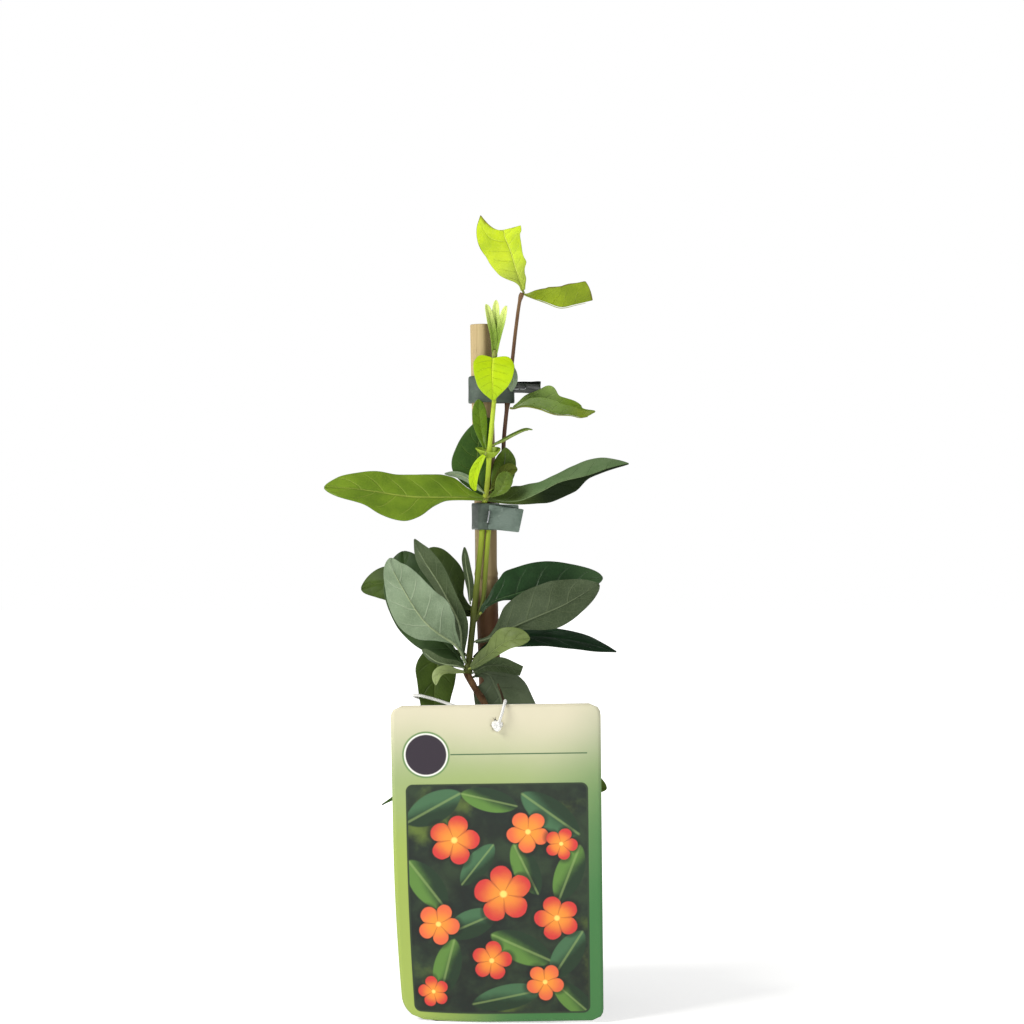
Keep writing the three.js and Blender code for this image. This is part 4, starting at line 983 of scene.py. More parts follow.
# ------------------------------------------------------------------ upper leaves
# Leaves round the upper tie and the shoot: one curled back at the right, a bright young disc
# with its partner behind, and small ovals that stand in front of the cane.
mid_green = leaf_finish("leaf_mid_green", (0.34, 0.43, 0.10), (0.27, 0.36, 0.07), (0.47, 0.54, 0.24),
                        gloss=0.4, coat=0.05)
deep_green = leaf_finish("leaf_deep_green", (0.22, 0.34, 0.11), (0.17, 0.28, 0.08), (0.36, 0.44, 0.18),
                         gloss=0.5, shine=0.15)
grass_green = leaf_finish("leaf_grass_green", (0.36, 0.48, 0.05), (0.28, 0.40, 0.04), (0.46, 0.56, 0.16),
                          gloss=0.42)
light_green = leaf_finish("leaf_light_green", (0.44, 0.50, 0.28), (0.36, 0.42, 0.21), (0.53, 0.59, 0.37),
                          branch=0.08, foot=((0.34, 0.39, 0.23), 0.2, 0.55))
olive_green = leaf_finish("leaf_olive", (0.38, 0.43, 0.12), (0.30, 0.34, 0.09), (0.46, 0.50, 0.22))
wood_green = leaf_finish("leaf_wood_green", (0.30, 0.38, 0.17), (0.24, 0.32, 0.13), (0.38, 0.45, 0.24))
glaucous = leaf_finish("leaf_glaucous_under", (0.52, 0.59, 0.48), (0.45, 0.52, 0.41), (0.66, 0.72, 0.60),
                       under=True, net=0.3, gloss=0.6, branch=0.5)
grey_green = leaf_finish("leaf_grey_under", (0.33, 0.39, 0.26), (0.27, 0.33, 0.21), (0.47, 0.53, 0.39),
                         under=True, net=0.3, gloss=0.6, branch=0.45)
rolled = leaf_finish("leaf_rolled_under", (0.42, 0.52, 0.21), (0.36, 0.46, 0.17), (0.54, 0.62, 0.32),
                     under=True, branch=0.2, tip=((0.42, 0.49, 0.06), 0.6, 0.85))
pale_top = leaf_finish("leaf_pale_top", (0.54, 0.65, 0.33), (0.47, 0.58, 0.26), (0.66, 0.74, 0.46),
                       branch=0.15, tip=((0.42, 0.53, 0.12), 0.4, 0.7))
SMALL = {"size": (12, 24), "stalk": 0.4, "quilt": 0.08}

leaf("upper_right", pale_top, rolled, green_stalk, "leaf_mid", size=(20, 40),
     rib=[[6.4, -0.9, 245.6], [11, -3.6, 246.4], [17.6, -5.4, 245.1], [23.7, -5, 242.9], [29.8, -5, 242.5],
          [35.5, -4.5, 241.5], [40.2, -3.5, 243.8]], left=[0.8, 4.6, 6.4, 10.8, 8.6, 7.2, 5.6, 4.5, 1.5],
     right=[0.8, 3.6, 6.6, 9, 8, 6, 5, 4, 1.2], face=((0, -0.62, 0.78), (0, -0.3, 0.95)), cup=(45, 62),
     wave=(0.3, 2))
leaf("disc_front", bright_lime, young_under, green_stalk, "leaf_lime", size=(20, 28), stalk=0.3, heart=1.8,
     blunt=True,
     rib=[[-1.5, -12.2, 265], [-1.8, -14.2, 260.1], [-1.7, -14.4, 254.1], [-1.5, -13, 248]],
     left=[7.4, 8.9, 8.9, 8.2, 6.6, 3.7, 0.5], right=[6.8, 7.9, 7.7, 7, 6.1, 3.8, 0.5],
     face=((0, -0.9, 0.4), (0, -1, 0)), cup=6, foot=0.3, crease=0.15, quilt=0.05)
leaf("disc_back", light_green, glaucous, pale_stalk, "leaf_pale", **SMALL,
     rib=[[0.9, -10.4, 264.4], [4.4, -10.8, 261.6], [6.2, -11, 257.4], [5.9, -10.6, 251.6]],
     half=[0.8, 2.2, 2.8, 2.4, 1], face=(-0.4, 0.9, 0), cup=8)
leaf("oval_small", grass_green, grey_green, green_stalk, "leaf_mid", **SMALL,
     rib=[[-4.7, -11, 228.4], [-5.7, -8.6, 232.1], [-6.8, -7.7, 238.6], [-7.5, -7.7, 248.6]],
     half=[0.7, 1.8, 2.9, 3, 1.8], face=(0, -1, 0), cup=4)
leaf("oval_large", deep_green, grey_green, green_stalk, "leaf_dark", size=(18, 32), crease=0.2,
     rib=[[-6.2, -6.2, 209.4], [-7, -6.2, 216.6], [-8, -6.2, 224.6], [-7, -6.2, 233.1], [-3, -6, 241.1]],
     left=[0.9, 8, 10.8, 8.6, 5.4, 3], right=[0.9, 3.5, 5, 6, 5, 1.5], face=(0, -1, 0.05), cup=0, tremble=0.1)
leaf("back_right", mid_green, mid_green, grey_stalk, "leaf_pale", **SMALL,
     rib=[[-1.8, -7.3, 210.4], [1, -6, 215.1], [3, -4.4, 222.1], [3.5, -3.6, 229.1]],
     left=[0.8, 4, 5.2, 4.6, 2], right=[0.8, 3.5, 4.5, 4, 1.2], face=(0, 0.95, 0.2), cup=4)
leaf("olive", olive_green, grey_green, green_stalk, "leaf_mid", **SMALL,
     rib=[[-2, -9.2, 212.4], [1.5, -8.4, 216.4], [4.5, -7.8, 219.6], [8.4, -7.6, 220.2]],
     left=[0.7, 2, 3, 3, 1.8], right=[0.7, 2, 3.2, 3.2, 1.8], face=(0, -1, 0.3), cup=10)
leaf("spoon", mid_green, young_under, green_stalk, "leaf_mid", **SMALL,
     rib=[[-2.9, -10.6, 209.1], [0.5, -12.6, 211], [3, -13.4, 214.6], [4, -13.6, 219.1]],
     left=[0.7, 1.4, 3.2, 3.6, 2.6], right=[0.7, 1.4, 3, 3.4, 2.6], face=(0, -1, 0.1), cup=12)
leaf("lime_crescent", bright_lime, young_under, green_stalk, "leaf_lime", **SMALL,
     rib=[[-5, -16.3, 225.7], [-7.2, -16.2, 222.4], [-9, -15.6, 218.2], [-9.4, -15, 214.6],
          [-8.6, -14.4, 211.2]], half=[0.8, 1.7, 2.1, 2.2, 1.8, 0.9], face=(-0.3, -0.9, 0.2), cup=10)
leaf("thin_right", mid_green, young_under, green_stalk, "leaf_mid", **SMALL,
     rib=[[-1.2, -12.2, 230.4], [2.5, -12.4, 231.8], [7, -12.6, 234.1], [12, -13, 236.1], [14.5, -13, 236.1]],
     half=[0.7, 1.7, 2, 1.8, 0.7], face=((-0.4, -0.25, 0.9), (-0.3, -0.25, 0.9)), cup=12)
leaf("edge_left", mid_green, glaucous, pale_stalk, "leaf_pale", **SMALL,
     rib=[[-6.1, -8.5, 211.2], [-8.8, -7.9, 213.6], [-12.2, -7.6, 216.4], [-16.5, -7.5, 218],
          [-21.3, -7.4, 218.3]], half=[0.6, 1.2, 1.5, 1.3, 0.7], face=(0, 1, -0.1), cup=4)


# ------------------------------------------------------------------ the big middle pair
# Two full-grown leaves opposite each other above the lower tie: a broad yellow-green one to
# the left, and to the right a dark one whose halves hang down like a roof.
yellow_green = leaf_finish("leaf_yellow_green", (0.45, 0.56, 0.13), (0.37, 0.48, 0.10), (0.62, 0.68, 0.28),
                           gloss=0.38, coat=0.08, veins=7.0)
# Painted light and shade: the pale grey-green body stands for the sheen of light from above on the raised
# half, and the near-black right half is painted shade on the half that hangs down; it is also darker towards
# the base.
roof_sheen_and_shade = leaf_finish("leaf_roof_green", (0.40, 0.49, 0.33), (0.34, 0.44, 0.28), (0.50, 0.58, 0.40),
                         gloss=0.5, veins=7.0, branch=0.12, half=(0.07, 0.12, 0.03), shine=0.08,
                         foot=((0.24, 0.30, 0.12), 0.16, 0.4))
leaf("main_left", yellow_green, grey_green, green_stalk, "leaf_lime", size=(26, 52), veins=7.0, quilt=0.28,
     rib=[[-5.6, -9, 208.2], [-10.5, -11.5, 208.4], [-18.9, -15, 208.4], [-26.9, -17, 208.5],
          [-35.7, -18.5, 208.9], [-50, -21, 211], [-60.8, -22.5, 212.3], [-69.2, -23, 212.3]],
     left=[1, 1.3, 1.4, 1.4, 4.4, 10.2, 13.3, 12.4, 10.7, 8, 6.8, 5.8, 3.5],
     right=[1.2, 4.2, 9.8, 10.8, 10.4, 10.2, 10.2, 9.7, 9.4, 8.8, 7.6, 6, 3.5],
     face=((0, -0.87, 0.5), (0, -0.8, 0.6)), cup=6, wave=(0.6, 3))
leaf("main_right", roof_sheen_and_shade, grey_green, green_stalk, "leaf_dark", size=(24, 48), veins=7.0, quilt=0.2,
     rib=[[-3.6, -9.3, 207.8], [3.3, -11.1, 206.9], [9.4, -11.4, 207.2], [17.5, -12, 210.8],
          [25.6, -11.5, 214.9], [37, -10, 217.5], [46, -7, 220.6], [53.9, -4, 222.5]],
     left=[1, 5.5, 8.4, 7.6, 5.6, 5.4, 7.7, 9.5, 10.2, 8.8, 4],
     right=[0.8, 0.9, 1.3, 3.6, 6.2, 6.6, 5.7, 1.2, 0.8, 0.8, 0.7], face=((0, -0.97, 0.25), (0, -0.9, 0.43)),
     cup=(-30, -34), wave=(0.4, 2))


# ------------------------------------------------------------------ lower cluster, left
# Leaves of the lowest nodes that fan out to the left; two show their pale undersides.
# Partly painted shade: this dark green is the low leaves' own colour, made darker still for the shade they
# sit in.
dark_green = leaf_finish("leaf_dark_green", (0.20, 0.29, 0.14), (0.15, 0.23, 0.10), (0.28, 0.36, 0.20),
                         shine=0.15, branch=0.2)
hanging_green = leaf_finish("leaf_hanging_green", (0.27, 0.35, 0.12), (0.21, 0.28, 0.09), (0.36, 0.43, 0.21),
                            veins=5.0, branch=0.08, shine=0.12)
curl_grey = leaf_finish("leaf_curl_grey", (0.58, 0.64, 0.42), (0.50, 0.56, 0.34), (0.68, 0.73, 0.55),
                        under=True, branch=0.1)
leaf("front_left", mid_green, glaucous, pale_stalk, "leaf_pale", size=(24, 44), quilt=0.3, stalk=0.6,
     rib=[[-12.95, -11.15, 142.4], [-15.6, -14, 148], [-22.5, -16.5, 153.1], [-27.3, -18, 156.9],
          [-31.7, -19, 162.2], [-37.7, -20.5, 172.2], [-42, -21.5, 180.5], [-42.7, -22, 184.3]],
     left=[0.8, 0.8, 4, 9.6, 12, 12.3, 11, 9.7, 8.2, 6.8, 4.5],
     right=[0.8, 0.8, 0.9, 3.8, 8.4, 10.4, 10.4, 9.5, 7.4, 5.4, 3], face=(0.25, 0.95, 0.1), cup=7,
     wave=(0.3, 3))
leaf("behind_left", dark_green, grey_green, green_stalk, "leaf_dark", size=(22, 42), quilt=0.26,
     rib=[[-13.8, -8.5, 140.4], [-17.9, -6.5, 145.7], [-26.6, -2, 154.4], [-33.7, 1, 166.6],
          [-37.9, 4, 178.8], [-38.8, 6, 186.6]], left=[0.9, 4.6, 7.4, 10, 11.6, 11.6, 11, 8.6, 5],
     right=[0.9, 1.6, 2.8, 6.2, 9, 11.4, 12.4, 11, 6.5], face=(-0.2, -0.95, 0.2), cup=5, wave=(0.3, 2))
leaf("tall_left", mid_green, grey_green, pale_stalk, "leaf_pale", size=(20, 42), stalk=0.5,
     rib=[[-13.9, -7, 145], [-14.8, -8.5, 156.5], [-19.4, -10.5, 166.7], [-23.9, -11, 174.8],
          [-27.9, -11, 180.9], [-31.2, -10, 186.3], [-33.4, -9, 191.8]],
     left=[0.9, 2.5, 4, 4.6, 5, 5.6, 6, 5, 1.6], right=[0.9, 3, 7, 6, 5, 5, 5, 4.4, 1.6],
     face=(0.6, 0.78, 0.18), cup=8, wave=(0.3, 2))
leaf("round_left", wood_green, grey_green, green_stalk, "leaf_mid", size=(20, 36),
     rib=[[-10.85, -6.55, 163.4], [-13.9, -3, 165.8], [-17.7, 1, 170.7], [-21, 4, 177.6], [-24.8, 6, 183.7],
          [-28.1, 7, 187.8]], left=[1, 2.8, 4, 5.4, 6.8, 7.8, 8.2, 7.6, 5],
     right=[1, 1.2, 2.4, 4.9, 6.6, 6.6, 5.8, 4.8, 3], face=(-0.1, -0.95, 0.3), cup=5, wave=(0.3, 2))
leaf("far_left", hanging_green, grey_green, green_stalk, "leaf_mid", size=(20, 44), quilt=0.24,
     rib=[[-10.25, -6.35, 160.8], [-20, 5, 165.1], [-34, 13, 169.6], [-47.3, 18, 173.1], [-57.1, 22, 170.4]],
     left=[1, 5, 8.5, 9.4, 8.6, 7.6, 4], right=[1, 5, 9, 9.2, 9.6, 7.4, 3.5], face=(-0.1, -0.9, 0.4), cup=6,
     wave=(0.5, 2))
leaf("narrow_upright", mid_green, grey_green, pale_stalk, "leaf_pale", **SMALL,
     rib=[[-10.8, -6.2, 166.4], [-11.2, -5.2, 173.7], [-12.4, -5.4, 180.3], [-13.2, -5.6, 188.4]],
     left=[0.7, 1.6, 1.8, 1.8, 1.4, 0.9], right=[0.7, 1.3, 2, 1.8, 1.9, 1], face=(0.3, 0.95, 0), cup=10)
leaf("hanging_left", hanging_green, grey_green, green_stalk, "leaf_mid", size=(18, 40), veins=5.0,
     rib=[[-12.8, -6.6, 144.4], [-16.3, -3.6, 145], [-20.9, -1, 144.3], [-24.2, -1, 140.6],
          [-25.3, -2.6, 134.4], [-25.5, -4.6, 124], [-25.6, -6, 109]],
     left=[0.8, 1.6, 6, 8.4, 8.2, 6.8, 5.5, 4, 2], right=[0.9, 1.6, 6.4, 8.6, 7.2, 6.3, 5.2, 4, 2],
     face=(0, -1, 0.1), cup=4, wave=(0.3, 2), tremble=0.15)
leaf("low_left", mid_green, grey_green, pale_stalk, "leaf_pale", **SMALL,
     rib=[[-13.5, -10.8, 139.8], [-16.5, -13.5, 141], [-20.5, -15, 141.5], [-25.3, -16, 143.2],
          [-30.1, -16.5, 147.3]], half=[0.7, 2.2, 2.5, 2.5, 1.6], face=(-0.2, 0.6, 0.75), cup=12)
leaf("small_curled", curl_grey, curl_grey, green_stalk, "leaf_mid", **SMALL,
     rib=[[-12.95, -11.95, 138], [-16.5, -14.5, 138.2], [-20.5, -17, 138.6], [-23.5, -19, 137.1],
          [-24.5, -19.5, 133.1]], half=[0.7, 1.6, 2.6, 2.8, 1.4], face=((0, -0.75, 0.66), (-0.7, -0.7, 0.3)),
     cup=20)


# ------------------------------------------------------------------ lower cluster, right
# Leaves of the same nodes to the right: a glossy dark one with pale arched veins above its
# partner's underside, a very dark one under them, and the leaves that hang behind the label.
glossy_dark = leaf_finish("leaf_glossy_dark", (0.14, 0.26, 0.13), (0.10, 0.20, 0.09), (0.30, 0.41, 0.25),
                          gloss=0.32, coat=0.08, branch=0.25, tip=((0.22, 0.32, 0.19), 0.7, 0.95))
grey_olive = leaf_finish("leaf_olive_under", (0.26, 0.31, 0.21), (0.21, 0.26, 0.16), (0.42, 0.47, 0.34),
                         under=True, net=0.3, gloss=0.6, branch=0.3)
# Partly painted shade: the near-black green is the leaf's own dark colour, made darker still for the shade it
# hangs in under the leaves above.
black_green = leaf_finish("leaf_black_green", (0.14, 0.25, 0.15), (0.10, 0.19, 0.11), (0.22, 0.31, 0.22),
                          gloss=0.5, branch=0.1, shine=0.08)
deep_grey = leaf_finish("leaf_deep_grey", (0.37, 0.42, 0.32), (0.31, 0.36, 0.26), (0.46, 0.51, 0.40),
                        branch=0.2)
leaf("right_glossy", glossy_dark, grey_green, green_stalk, "leaf_dark", size=(24, 46), quilt=0.3,
     rib=[[-6.4, -9.6, 162], [-4.4, -9.8, 164.5], [0.5, -9, 167.1], [5.3, -8, 168.5], [11.4, -6, 170.3],
          [20.4, -4.5, 172.5], [31.9, -2.5, 174.5], [43.4, -1, 175.7]],
     left=[0.9, 2.5, 7.5, 10.8, 11.2, 11.4, 10.6, 9, 7.2, 5.6, 4],
     right=[0.8, 0.9, 1, 2.5, 5.5, 7, 7, 6.5, 5.5, 4.5, 3], face=(0, -0.9, 0.43), cup=(5, -10), wave=(0.4, 2))
leaf("right_underside", dark_green, grey_olive, grey_stalk, "leaf_pale", size=(24, 44), quilt=0.26,
     stalk=0.42,
     rib=[[-8.7, -9.8, 150], [-3.3, -11.5, 151.2], [1.7, -13, 153.5], [8, -14.5, 156.7], [17.3, -16, 160.8],
          [26.6, -17, 164.9], [35.9, -17, 170.3], [41.4, -17, 173.5]],
     left=[0.8, 1, 1.2, 1.6, 3.4, 6, 7.4, 7, 6, 5, 3.4],
     right=[0.8, 1.2, 4.3, 9.3, 11.3, 12.1, 12, 11.5, 9.4, 6.8, 3.4], face=(0, 0.95, -0.2), cup=5,
     wave=(0.3, 2))
leaf("right_low", black_green, grey_olive, green_stalk, "leaf_dark", size=(20, 44),
     rib=[[-9.4, -9, 143.5], [-3.5, -8, 147.6], [3.5, -7, 151.1], [17.5, -5, 151.8], [34, -3, 149.6],
          [49, -1, 145.4]], left=[0.9, 3, 5.4, 6.4, 6, 4.8, 1.2], right=[0.9, 3, 6, 6, 5.6, 4, 1.2],
     face=((0, -0.56, 0.83), (0, -0.5, 0.87)), cup=(6, -8), wave=(0.2, 2))
leaf("front_small", light_green, young_under, green_stalk, "leaf_mid",
     rib=[[-10.7, -12.05, 139.6], [-7.6, -13.5, 141.7], [-2.6, -17, 145.7], [1.3, -19, 148.8],
          [5.7, -21.5, 151.5], [13.4, -23, 152]], left=[1, 3, 3.6, 3.8, 5.4, 6.1, 5.2, 4.4, 2.6],
     right=[1, 1.8, 2.3, 2.7, 3.5, 4, 4.2, 3.8, 2.6], face=((-0.2, -0.9, 0.4), (-0.1, -0.9, 0.4)),
     cup=(5, 12), wave=(0.3, 2))
leaf("right_behind", mid_green, grey_green, grey_stalk, "leaf_pale", **SMALL, blunt=True,
     rib=[[-9.5, -10.4, 137.8], [-4.4, -10.5, 140.6], [2.1, -10.3, 140.6], [10.2, -9.7, 138.3]],
     left=[2.1, 3.4, 4.2, 4.4, 4, 3.3], right=[1.8, 2.4, 3.3, 3.7, 3, 2.2], face=(0, 0.8, 0.6), cup=5,
     wave=(0.2, 2))
leaf("hanging_right", deep_grey, grey_green, grey_stalk, "leaf_dark", size=(20, 40),
     rib=[[-8.8, -7.8, 136], [-6.4, -7.2, 137.2], [-3.2, -6.8, 136.3], [-0.8, -6.6, 131.8],
          [2.1, -6.4, 124.9], [4.5, -6.4, 115.9], [6.2, -6.4, 104]],
     left=[0.9, 4, 9.5, 12, 12.6, 13.4, 12.5, 9, 3], right=[0.9, 3, 9.2, 10.7, 11.3, 11.2, 9.6, 7.4, 3],
     face=((0, -0.95, 0.3), (0, -1, 0.1)), cup=4, wave=(0.3, 2), tremble=0.15)


# ------------------------------------------------------------------ leaves behind the label
# Two low leaves of the woody stem arch over the rim of the pot; only their tips stand clear
# of the label.
leaf("label_left", deep_green, grey_green, green_stalk, "leaf_dark", size=(16, 40), foot=2.2,
     rib=[[1.75, -13.6, 89.4], [-14, -21, 96.6], [-31, -27, 93.6], [-45.6, -30, 86.2]],
     half=[0.9, 4.5, 6.5, 4.5, 0.7], face=((0, -0.3, 0.95), (-0.1, -0.2, 0.97)), cup=8, wave=(0.4, 2))
leaf("label_right", mid_green, grey_green, green_stalk, "leaf_pale", size=(16, 40), foot=1.8,
     rib=[[5.7, -12.3, 86.6], [21, -20, 94.6], [34, -25, 95], [43.9, -29, 92.4]], half=[0.9, 4.5, 7, 6, 3],
     face=((0.1, -0.3, 0.95), (0.1, -0.9, 0.4)), cup=5, wave=(0.3, 2))


# ------------------------------------------------------------------ hang label
# A card of thick plastic-coated board, printed on the front: a pale green ground, a plain
# round badge, a thin rule, and a bordered picture of simple garden flowers. Round hole on top.
LABEL = {"width": 82, "height": 128, "thick": 0.7, "corner": 4.5, "low_corner": 9, "lean": 7.2, "roll": 0.8,
         "centre": (0.6, -40.75, 64.1), "hole": 2.1, "hole_down": 8.4, "curl": 5}

printed = Finish("label_print", {"Specular IOR Level": 0.3, "Coat Weight": 0.1, "Coat Roughness": 0.25})
share_x, share_y = printed.map()
x = share_x * LABEL["width"]
y = share_y * LABEL["height"]
cloudy = printed.speckle(28, 3)
CREAM = (0.84, 0.815, 0.71)
SAGE = (0.61, 0.68, 0.46)
YELLOW_GREEN = (0.62, 0.70, 0.33)
GREEN = (0.25, 0.47, 0.25)
ground = printed.blend((y + x * 0.05 + cloudy * 10).rise(101, 134), SAGE, CREAM)
low_left = (1 - (y - x * 0.2 + cloudy * 14).rise(70, 112)) * (1 - x.rise(20, 70))
ground = printed.blend(low_left, ground, YELLOW_GREEN)
ground = printed.blend((x - y * 0.55 + cloudy * 16).rise(4, 62), ground, GREEN)


def disc(cx, cy, radius):
    """One inside a circle on the print, nought outside."""
    away = ((x - cx) * (x - cx) + (y - cy) * (y - cy)) ** 0.5
    return 1 - away.rise(radius - 0.25, radius + 0.25)


def panel(x0, y0, x1, y1, corner, soft=0.2):
    """One inside a rectangle with round corners."""
    over_x = ((x - (x0 + x1) / 2).size() - ((x1 - x0) / 2 - corner)).most(0)
    over_y = ((y - (y0 + y1) / 2).size() - ((y1 - y0) / 2 - corner)).most(0)
    away = (over_x * over_x + over_y * over_y) ** 0.5
    return 1 - away.rise(corner - soft, corner + soft)


BADGE = (13.5, 108.4)
RULE = (23, 108.1, 76.6, 108.6)
BORDER = (5.3, 3.2, 76.8, 96.6)
PICTURE = (6, 3.9, 76.1, 95.9)
ink = printed.blend(disc(*BADGE, 9.3), ground, (0.42, 0.55, 0.33))
ink = printed.blend(disc(*BADGE, 8.6), ink, (0.95, 0.95, 0.92))
ink = printed.blend(disc(*BADGE, 8.0), ink, (0.17, 0.13, 0.18))
ink = printed.blend(panel(*RULE, 0.2, 0.1), ink, (0.30, 0.42, 0.28))
ink = printed.blend(panel(*BORDER, 2.8), ink, (0.16, 0.22, 0.14))

shrub = printed.speckle(62, 4, 0.6)
thicket = printed.cells(105, "F1")
picture = printed.blend(shrub.rise(0.35, 0.65), (0.07, 0.12, 0.09), (0.16, 0.23, 0.14))
picture = printed.blend(thicket.rise(0.35, 0.75) * 0.5, picture, (0.04, 0.07, 0.05))
sunlit = (printed.speckle(24, 2) + shrub * 0.25).rise(0.72, 0.86) * 0.7
picture = printed.blend(sunlit, picture, (0.50, 0.60, 0.22))


def printed_leaf(base, cx, cy, length, width, turn, lit):
    """A pointed leaf; the half above its vein catches the light."""
    c, s = math.cos(turn), math.sin(turn)
    lengthwise = ((x - cx) * c + (y - cy) * s) / length
    sideways = ((y - cy) * c - (x - cx) * s) / width
    inside = 1 - (lengthwise * lengthwise + sideways.size() ** 1.5 + shrub * 0.1).rise(0.86, 1.02)
    light = (sideways * 1.2 + lengthwise * 0.5 + shrub).rise(0.0, 1.1)
    tone = printed.blend(light, (0.10, 0.20, 0.11), lit)
    tone = printed.blend((1 - sideways.size().rise(0.02, 0.12)) * 0.4, tone, (0.60, 0.70, 0.42))
    return printed.blend(inside, base, tone)


def printed_flower(base, cx, cy, size, turn, rim):
    """Five round petals over a soft shadow."""
    across, upward = x - cx, y - cy
    away = (across * across + upward * upward) ** 0.5
    angle = across.work("ARCTAN2", upward, across) + shrub * 0.5
    petal = ((angle - turn) * 2.5).work("COSINE", (angle - turn) * 2.5).size() ** 0.6
    edge_at = petal * (0.42 * size) + 0.58 * size
    shade = 1 - (away - edge_at * 1.12).rise(-0.5, 1.6)
    inside = 1 - (away - edge_at).rise(-0.25, 0.25)
    tone = printed.blend((away / size + shrub * 0.6).rise(0.5, 1.25), (0.95, 0.58, 0.20), rim)
    tone = printed.blend((1 - petal.rise(0.0, 0.6)) * 0.5, tone, (0.50, 0.09, 0.12))
    tone = printed.blend(1 - away.rise(0.08 * size, 0.16 * size), tone, (0.98, 0.86, 0.44))
    return printed.blend(inside, printed.blend(shade * 0.6, base, (0.05, 0.06, 0.05)), tone)


FRESH = (0.36, 0.52, 0.22)
BLUISH = (0.26, 0.42, 0.28)
PRINTED_LEAVES = [
    (16, 87, 13, 6.5, 0.5, BLUISH), (38, 90, 12, 5, 2.9, FRESH), (62, 84, 15, 6.5, 2.5, BLUISH),
    (69, 60, 13, 6, 1.2, FRESH), (13, 56, 13, 6.5, 2.2, FRESH), (33, 64, 11, 5, 0.9, BLUISH),
    (52, 62, 12, 5.5, 2.0, FRESH), (30, 40, 12, 6, 0.4, BLUISH), (50, 30, 14, 6.5, 2.7, FRESH),
    (68, 27, 12, 6, 1.0, BLUISH), (20, 22, 13, 6, 1.3, FRESH), (44, 10, 15, 5.5, 0.2, BLUISH),
    (70, 9, 11, 5, 2.4, FRESH)]
for facts in PRINTED_LEAVES:
    picture = printed_leaf(picture, *facts)
SCARLET = (0.82, 0.22, 0.21)
CORAL = (0.90, 0.40, 0.25)
PRINTED_FLOWERS = [
    (24, 74, 10, 0.3, SCARLET), (53, 77, 8.5, 1.1, CORAL), (66, 72, 6.5, 0.2, SCARLET),
    (43, 52, 11.5, 0.7, SCARLET), (17, 40, 8.5, 0.1, CORAL), (64, 42, 9, 0.9, SCARLET),
    (38, 25, 8, 0.4, SCARLET), (59, 16, 7.5, 0.0, CORAL), (14, 12, 6.5, 0.8, SCARLET)]
for facts in PRINTED_FLOWERS:
    picture = printed_flower(picture, *facts)
ink = printed.blend(panel(*PICTURE, 2.3), ink, picture)
worn = printed.speckle(240, 4)
label_front = printed.wear(ink, worn * 0.12 + 0.3, printed.relief(printed.speckle(60, 2), 0.0004, 0.5))

board = Finish("label_back", {"Specular IOR Level": 0.35})
board_cloud = board.speckle(45, 4)
board_tone = board.blend(board_cloud, (0.87, 0.87, 0.83), (0.93, 0.93, 0.90))
label_back = board.wear(board_tone, board_cloud * 0.15 + 0.45, board.relief(board.speckle(1300, 2), 0.00005))


def card_half(v, low_corner):
    corner = low_corner if v < 0 else LABEL["corner"]
    into = max(0, abs(v) - (LABEL["height"] / 2 - corner))
    return LABEL["width"] / 2 - corner + math.sqrt(max(0, corner ** 2 - into ** 2))


def label_point(u, v):
    """A point of the card, u across from the middle and v up, leaning against the pot."""
    low = max(0, 0.1 - v / LABEL["height"])
    outer = max(0, -u / LABEL["width"])
    bend = LABEL["curl"] * 16 * (low * outer) ** 2
    flat_point = Vector((u + 0.35 * bend, bend, v))
    turn = (Matrix.Translation(LABEL["centre"]) @ Matrix.Rotation(math.radians(LABEL["lean"]), 4, "X")
            @ Matrix.Rotation(-math.radians(LABEL["roll"]), 4, "Y"))
    return turn @ flat_point


card = bmesh.new()
skin = card.loops.layers.uv.new("skin")
bmesh.ops.create_grid(card, x_segments=52, y_segments=80, size=1)
hole_at = Vector((0, LABEL["height"] / 2 - LABEL["hole_down"], 0))
for v in card.verts:
    up_card = v.co.y * LABEL["height"] / 2
    corner = LABEL["low_corner"] if v.co.x < 0 else LABEL["corner"]
    v.co = (v.co.x * card_half(up_card, corner), up_card, 0)
block = [f for f in card.faces if abs(f.calc_center_median().x) < 3.2
         and abs(f.calc_center_median().y - hole_at.y) < 3.2]
bmesh.ops.delete(card, geom=block, context="FACES")
frame_edges = [e for e in card.edges if e.is_boundary and all((v.co - hole_at).length < 6 for v in e.verts)]
hole = bmesh.ops.create_circle(card, segments=len(frame_edges), radius=LABEL["hole"],
                               matrix=Matrix.Translation(hole_at))["verts"]
bmesh.ops.bridge_loops(card, edges=frame_edges + list({e for v in hole for e in v.link_edges}))
for face in card.faces:
    for loop in face.loops:
        co = loop.vert.co
        loop[skin].uv = (co.x / LABEL["width"] + 0.5, co.y / LABEL["height"] + 0.5)
for v in card.verts:
    v.co = label_point(v.co.x, v.co.y)
bmesh.ops.recalc_face_normals(card, faces=card.faces)
if sum(f.normal.y * f.calc_area() for f in card.faces) > 0:
    bmesh.ops.reverse_faces(card, faces=card.faces)
card_piece = piece("hang_label", card, [label_front, label_back], "card", "label", outward=False)
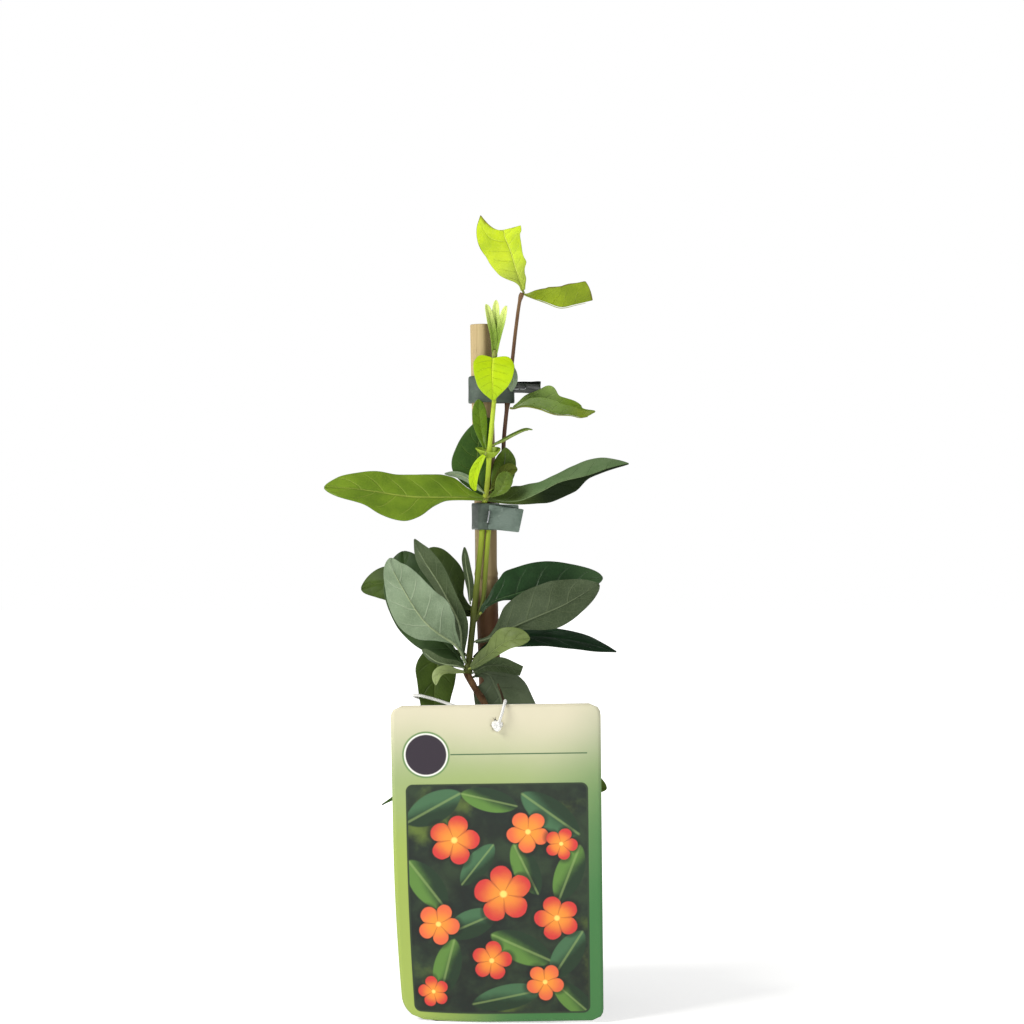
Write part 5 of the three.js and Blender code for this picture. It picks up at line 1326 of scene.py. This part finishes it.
modify(card_piece, "SOLIDIFY", thickness=LABEL["thick"] * MM, offset=0, material_offset=1,
       material_offset_rim=1)


# ------------------------------------------------------------------ elastic string
# A white braided elastic loop, 1.2 mm thick: knotted through the label's hole, over its
# top edge, and round the hanging leaf and the woody stem.
STRING = [[0.5, -47.6, 119.2], [1, -49.9, 120.6], [2.2, -50.6, 124.2], [3.2, -50.2, 128],
          [3.5, -48.6, 129.1], [3.4, -46.6, 127.8], [1, -40, 124.2], [-6, -28, 123], [-14, -16, 123.6],
          [-19.8, -9.4, 124.8], [-25.5, -7.8, 126.5], [-31.6, -7.6, 128], [-34.1, -4.8, 127.8],
          [-31.6, -1.6, 126.4], [-24, -1.4, 123.4], [-17.2, -3.6, 122.2], [-12.5, -8, 121.4],
          [-8, -9.7, 121], [-2.6, -9.5, 120.6], [0.3, -12.4, 120.4], [0.7, -22, 120], [0.6, -38, 119.3]]
STRING_RADIUS = 0.6
KNOT_AT = Vector((0.4, -48.7, 119.4))
KNOT_SIZE = 0.45
KNOT_RADIUS = 1.05
braid = Finish("elastic", {"Specular IOR Level": 0.3, "Sheen Weight": 0.3})
round_it, length_it = braid.map()
TWO_TURNS = 12.566
one_way = (length_it * 95 + round_it * TWO_TURNS).wave()
other_way = (length_it * 95 - round_it * TWO_TURNS).wave()
plait = (one_way + other_way) * 0.5
braid_tone = braid.blend(plait.rise(-0.6, 0.8), (0.90, 0.90, 0.88), (0.99, 0.99, 0.98))
elastic_white = braid.wear(braid_tone, plait * 0.05 + 0.65, braid.relief(plait, 0.00018))
string = new_skin()
sweep(string, Route(STRING, closed=True), lambda a: STRING_RADIUS, 260, 12)
KNOT = [(math.sin(t) + 2 * math.sin(2 * t), math.sin(3 * t), math.cos(t) - 2 * math.cos(2 * t))
        for t in [math.tau * i / 24 for i in range(24)]]
knot_line = Route([KNOT_AT + Vector(p) * KNOT_SIZE for p in KNOT], closed=True)
sweep(string, knot_line, lambda a: KNOT_RADIUS, 60, 10)
piece("elastic_string", string, [elastic_white], "elastic", "label_string")
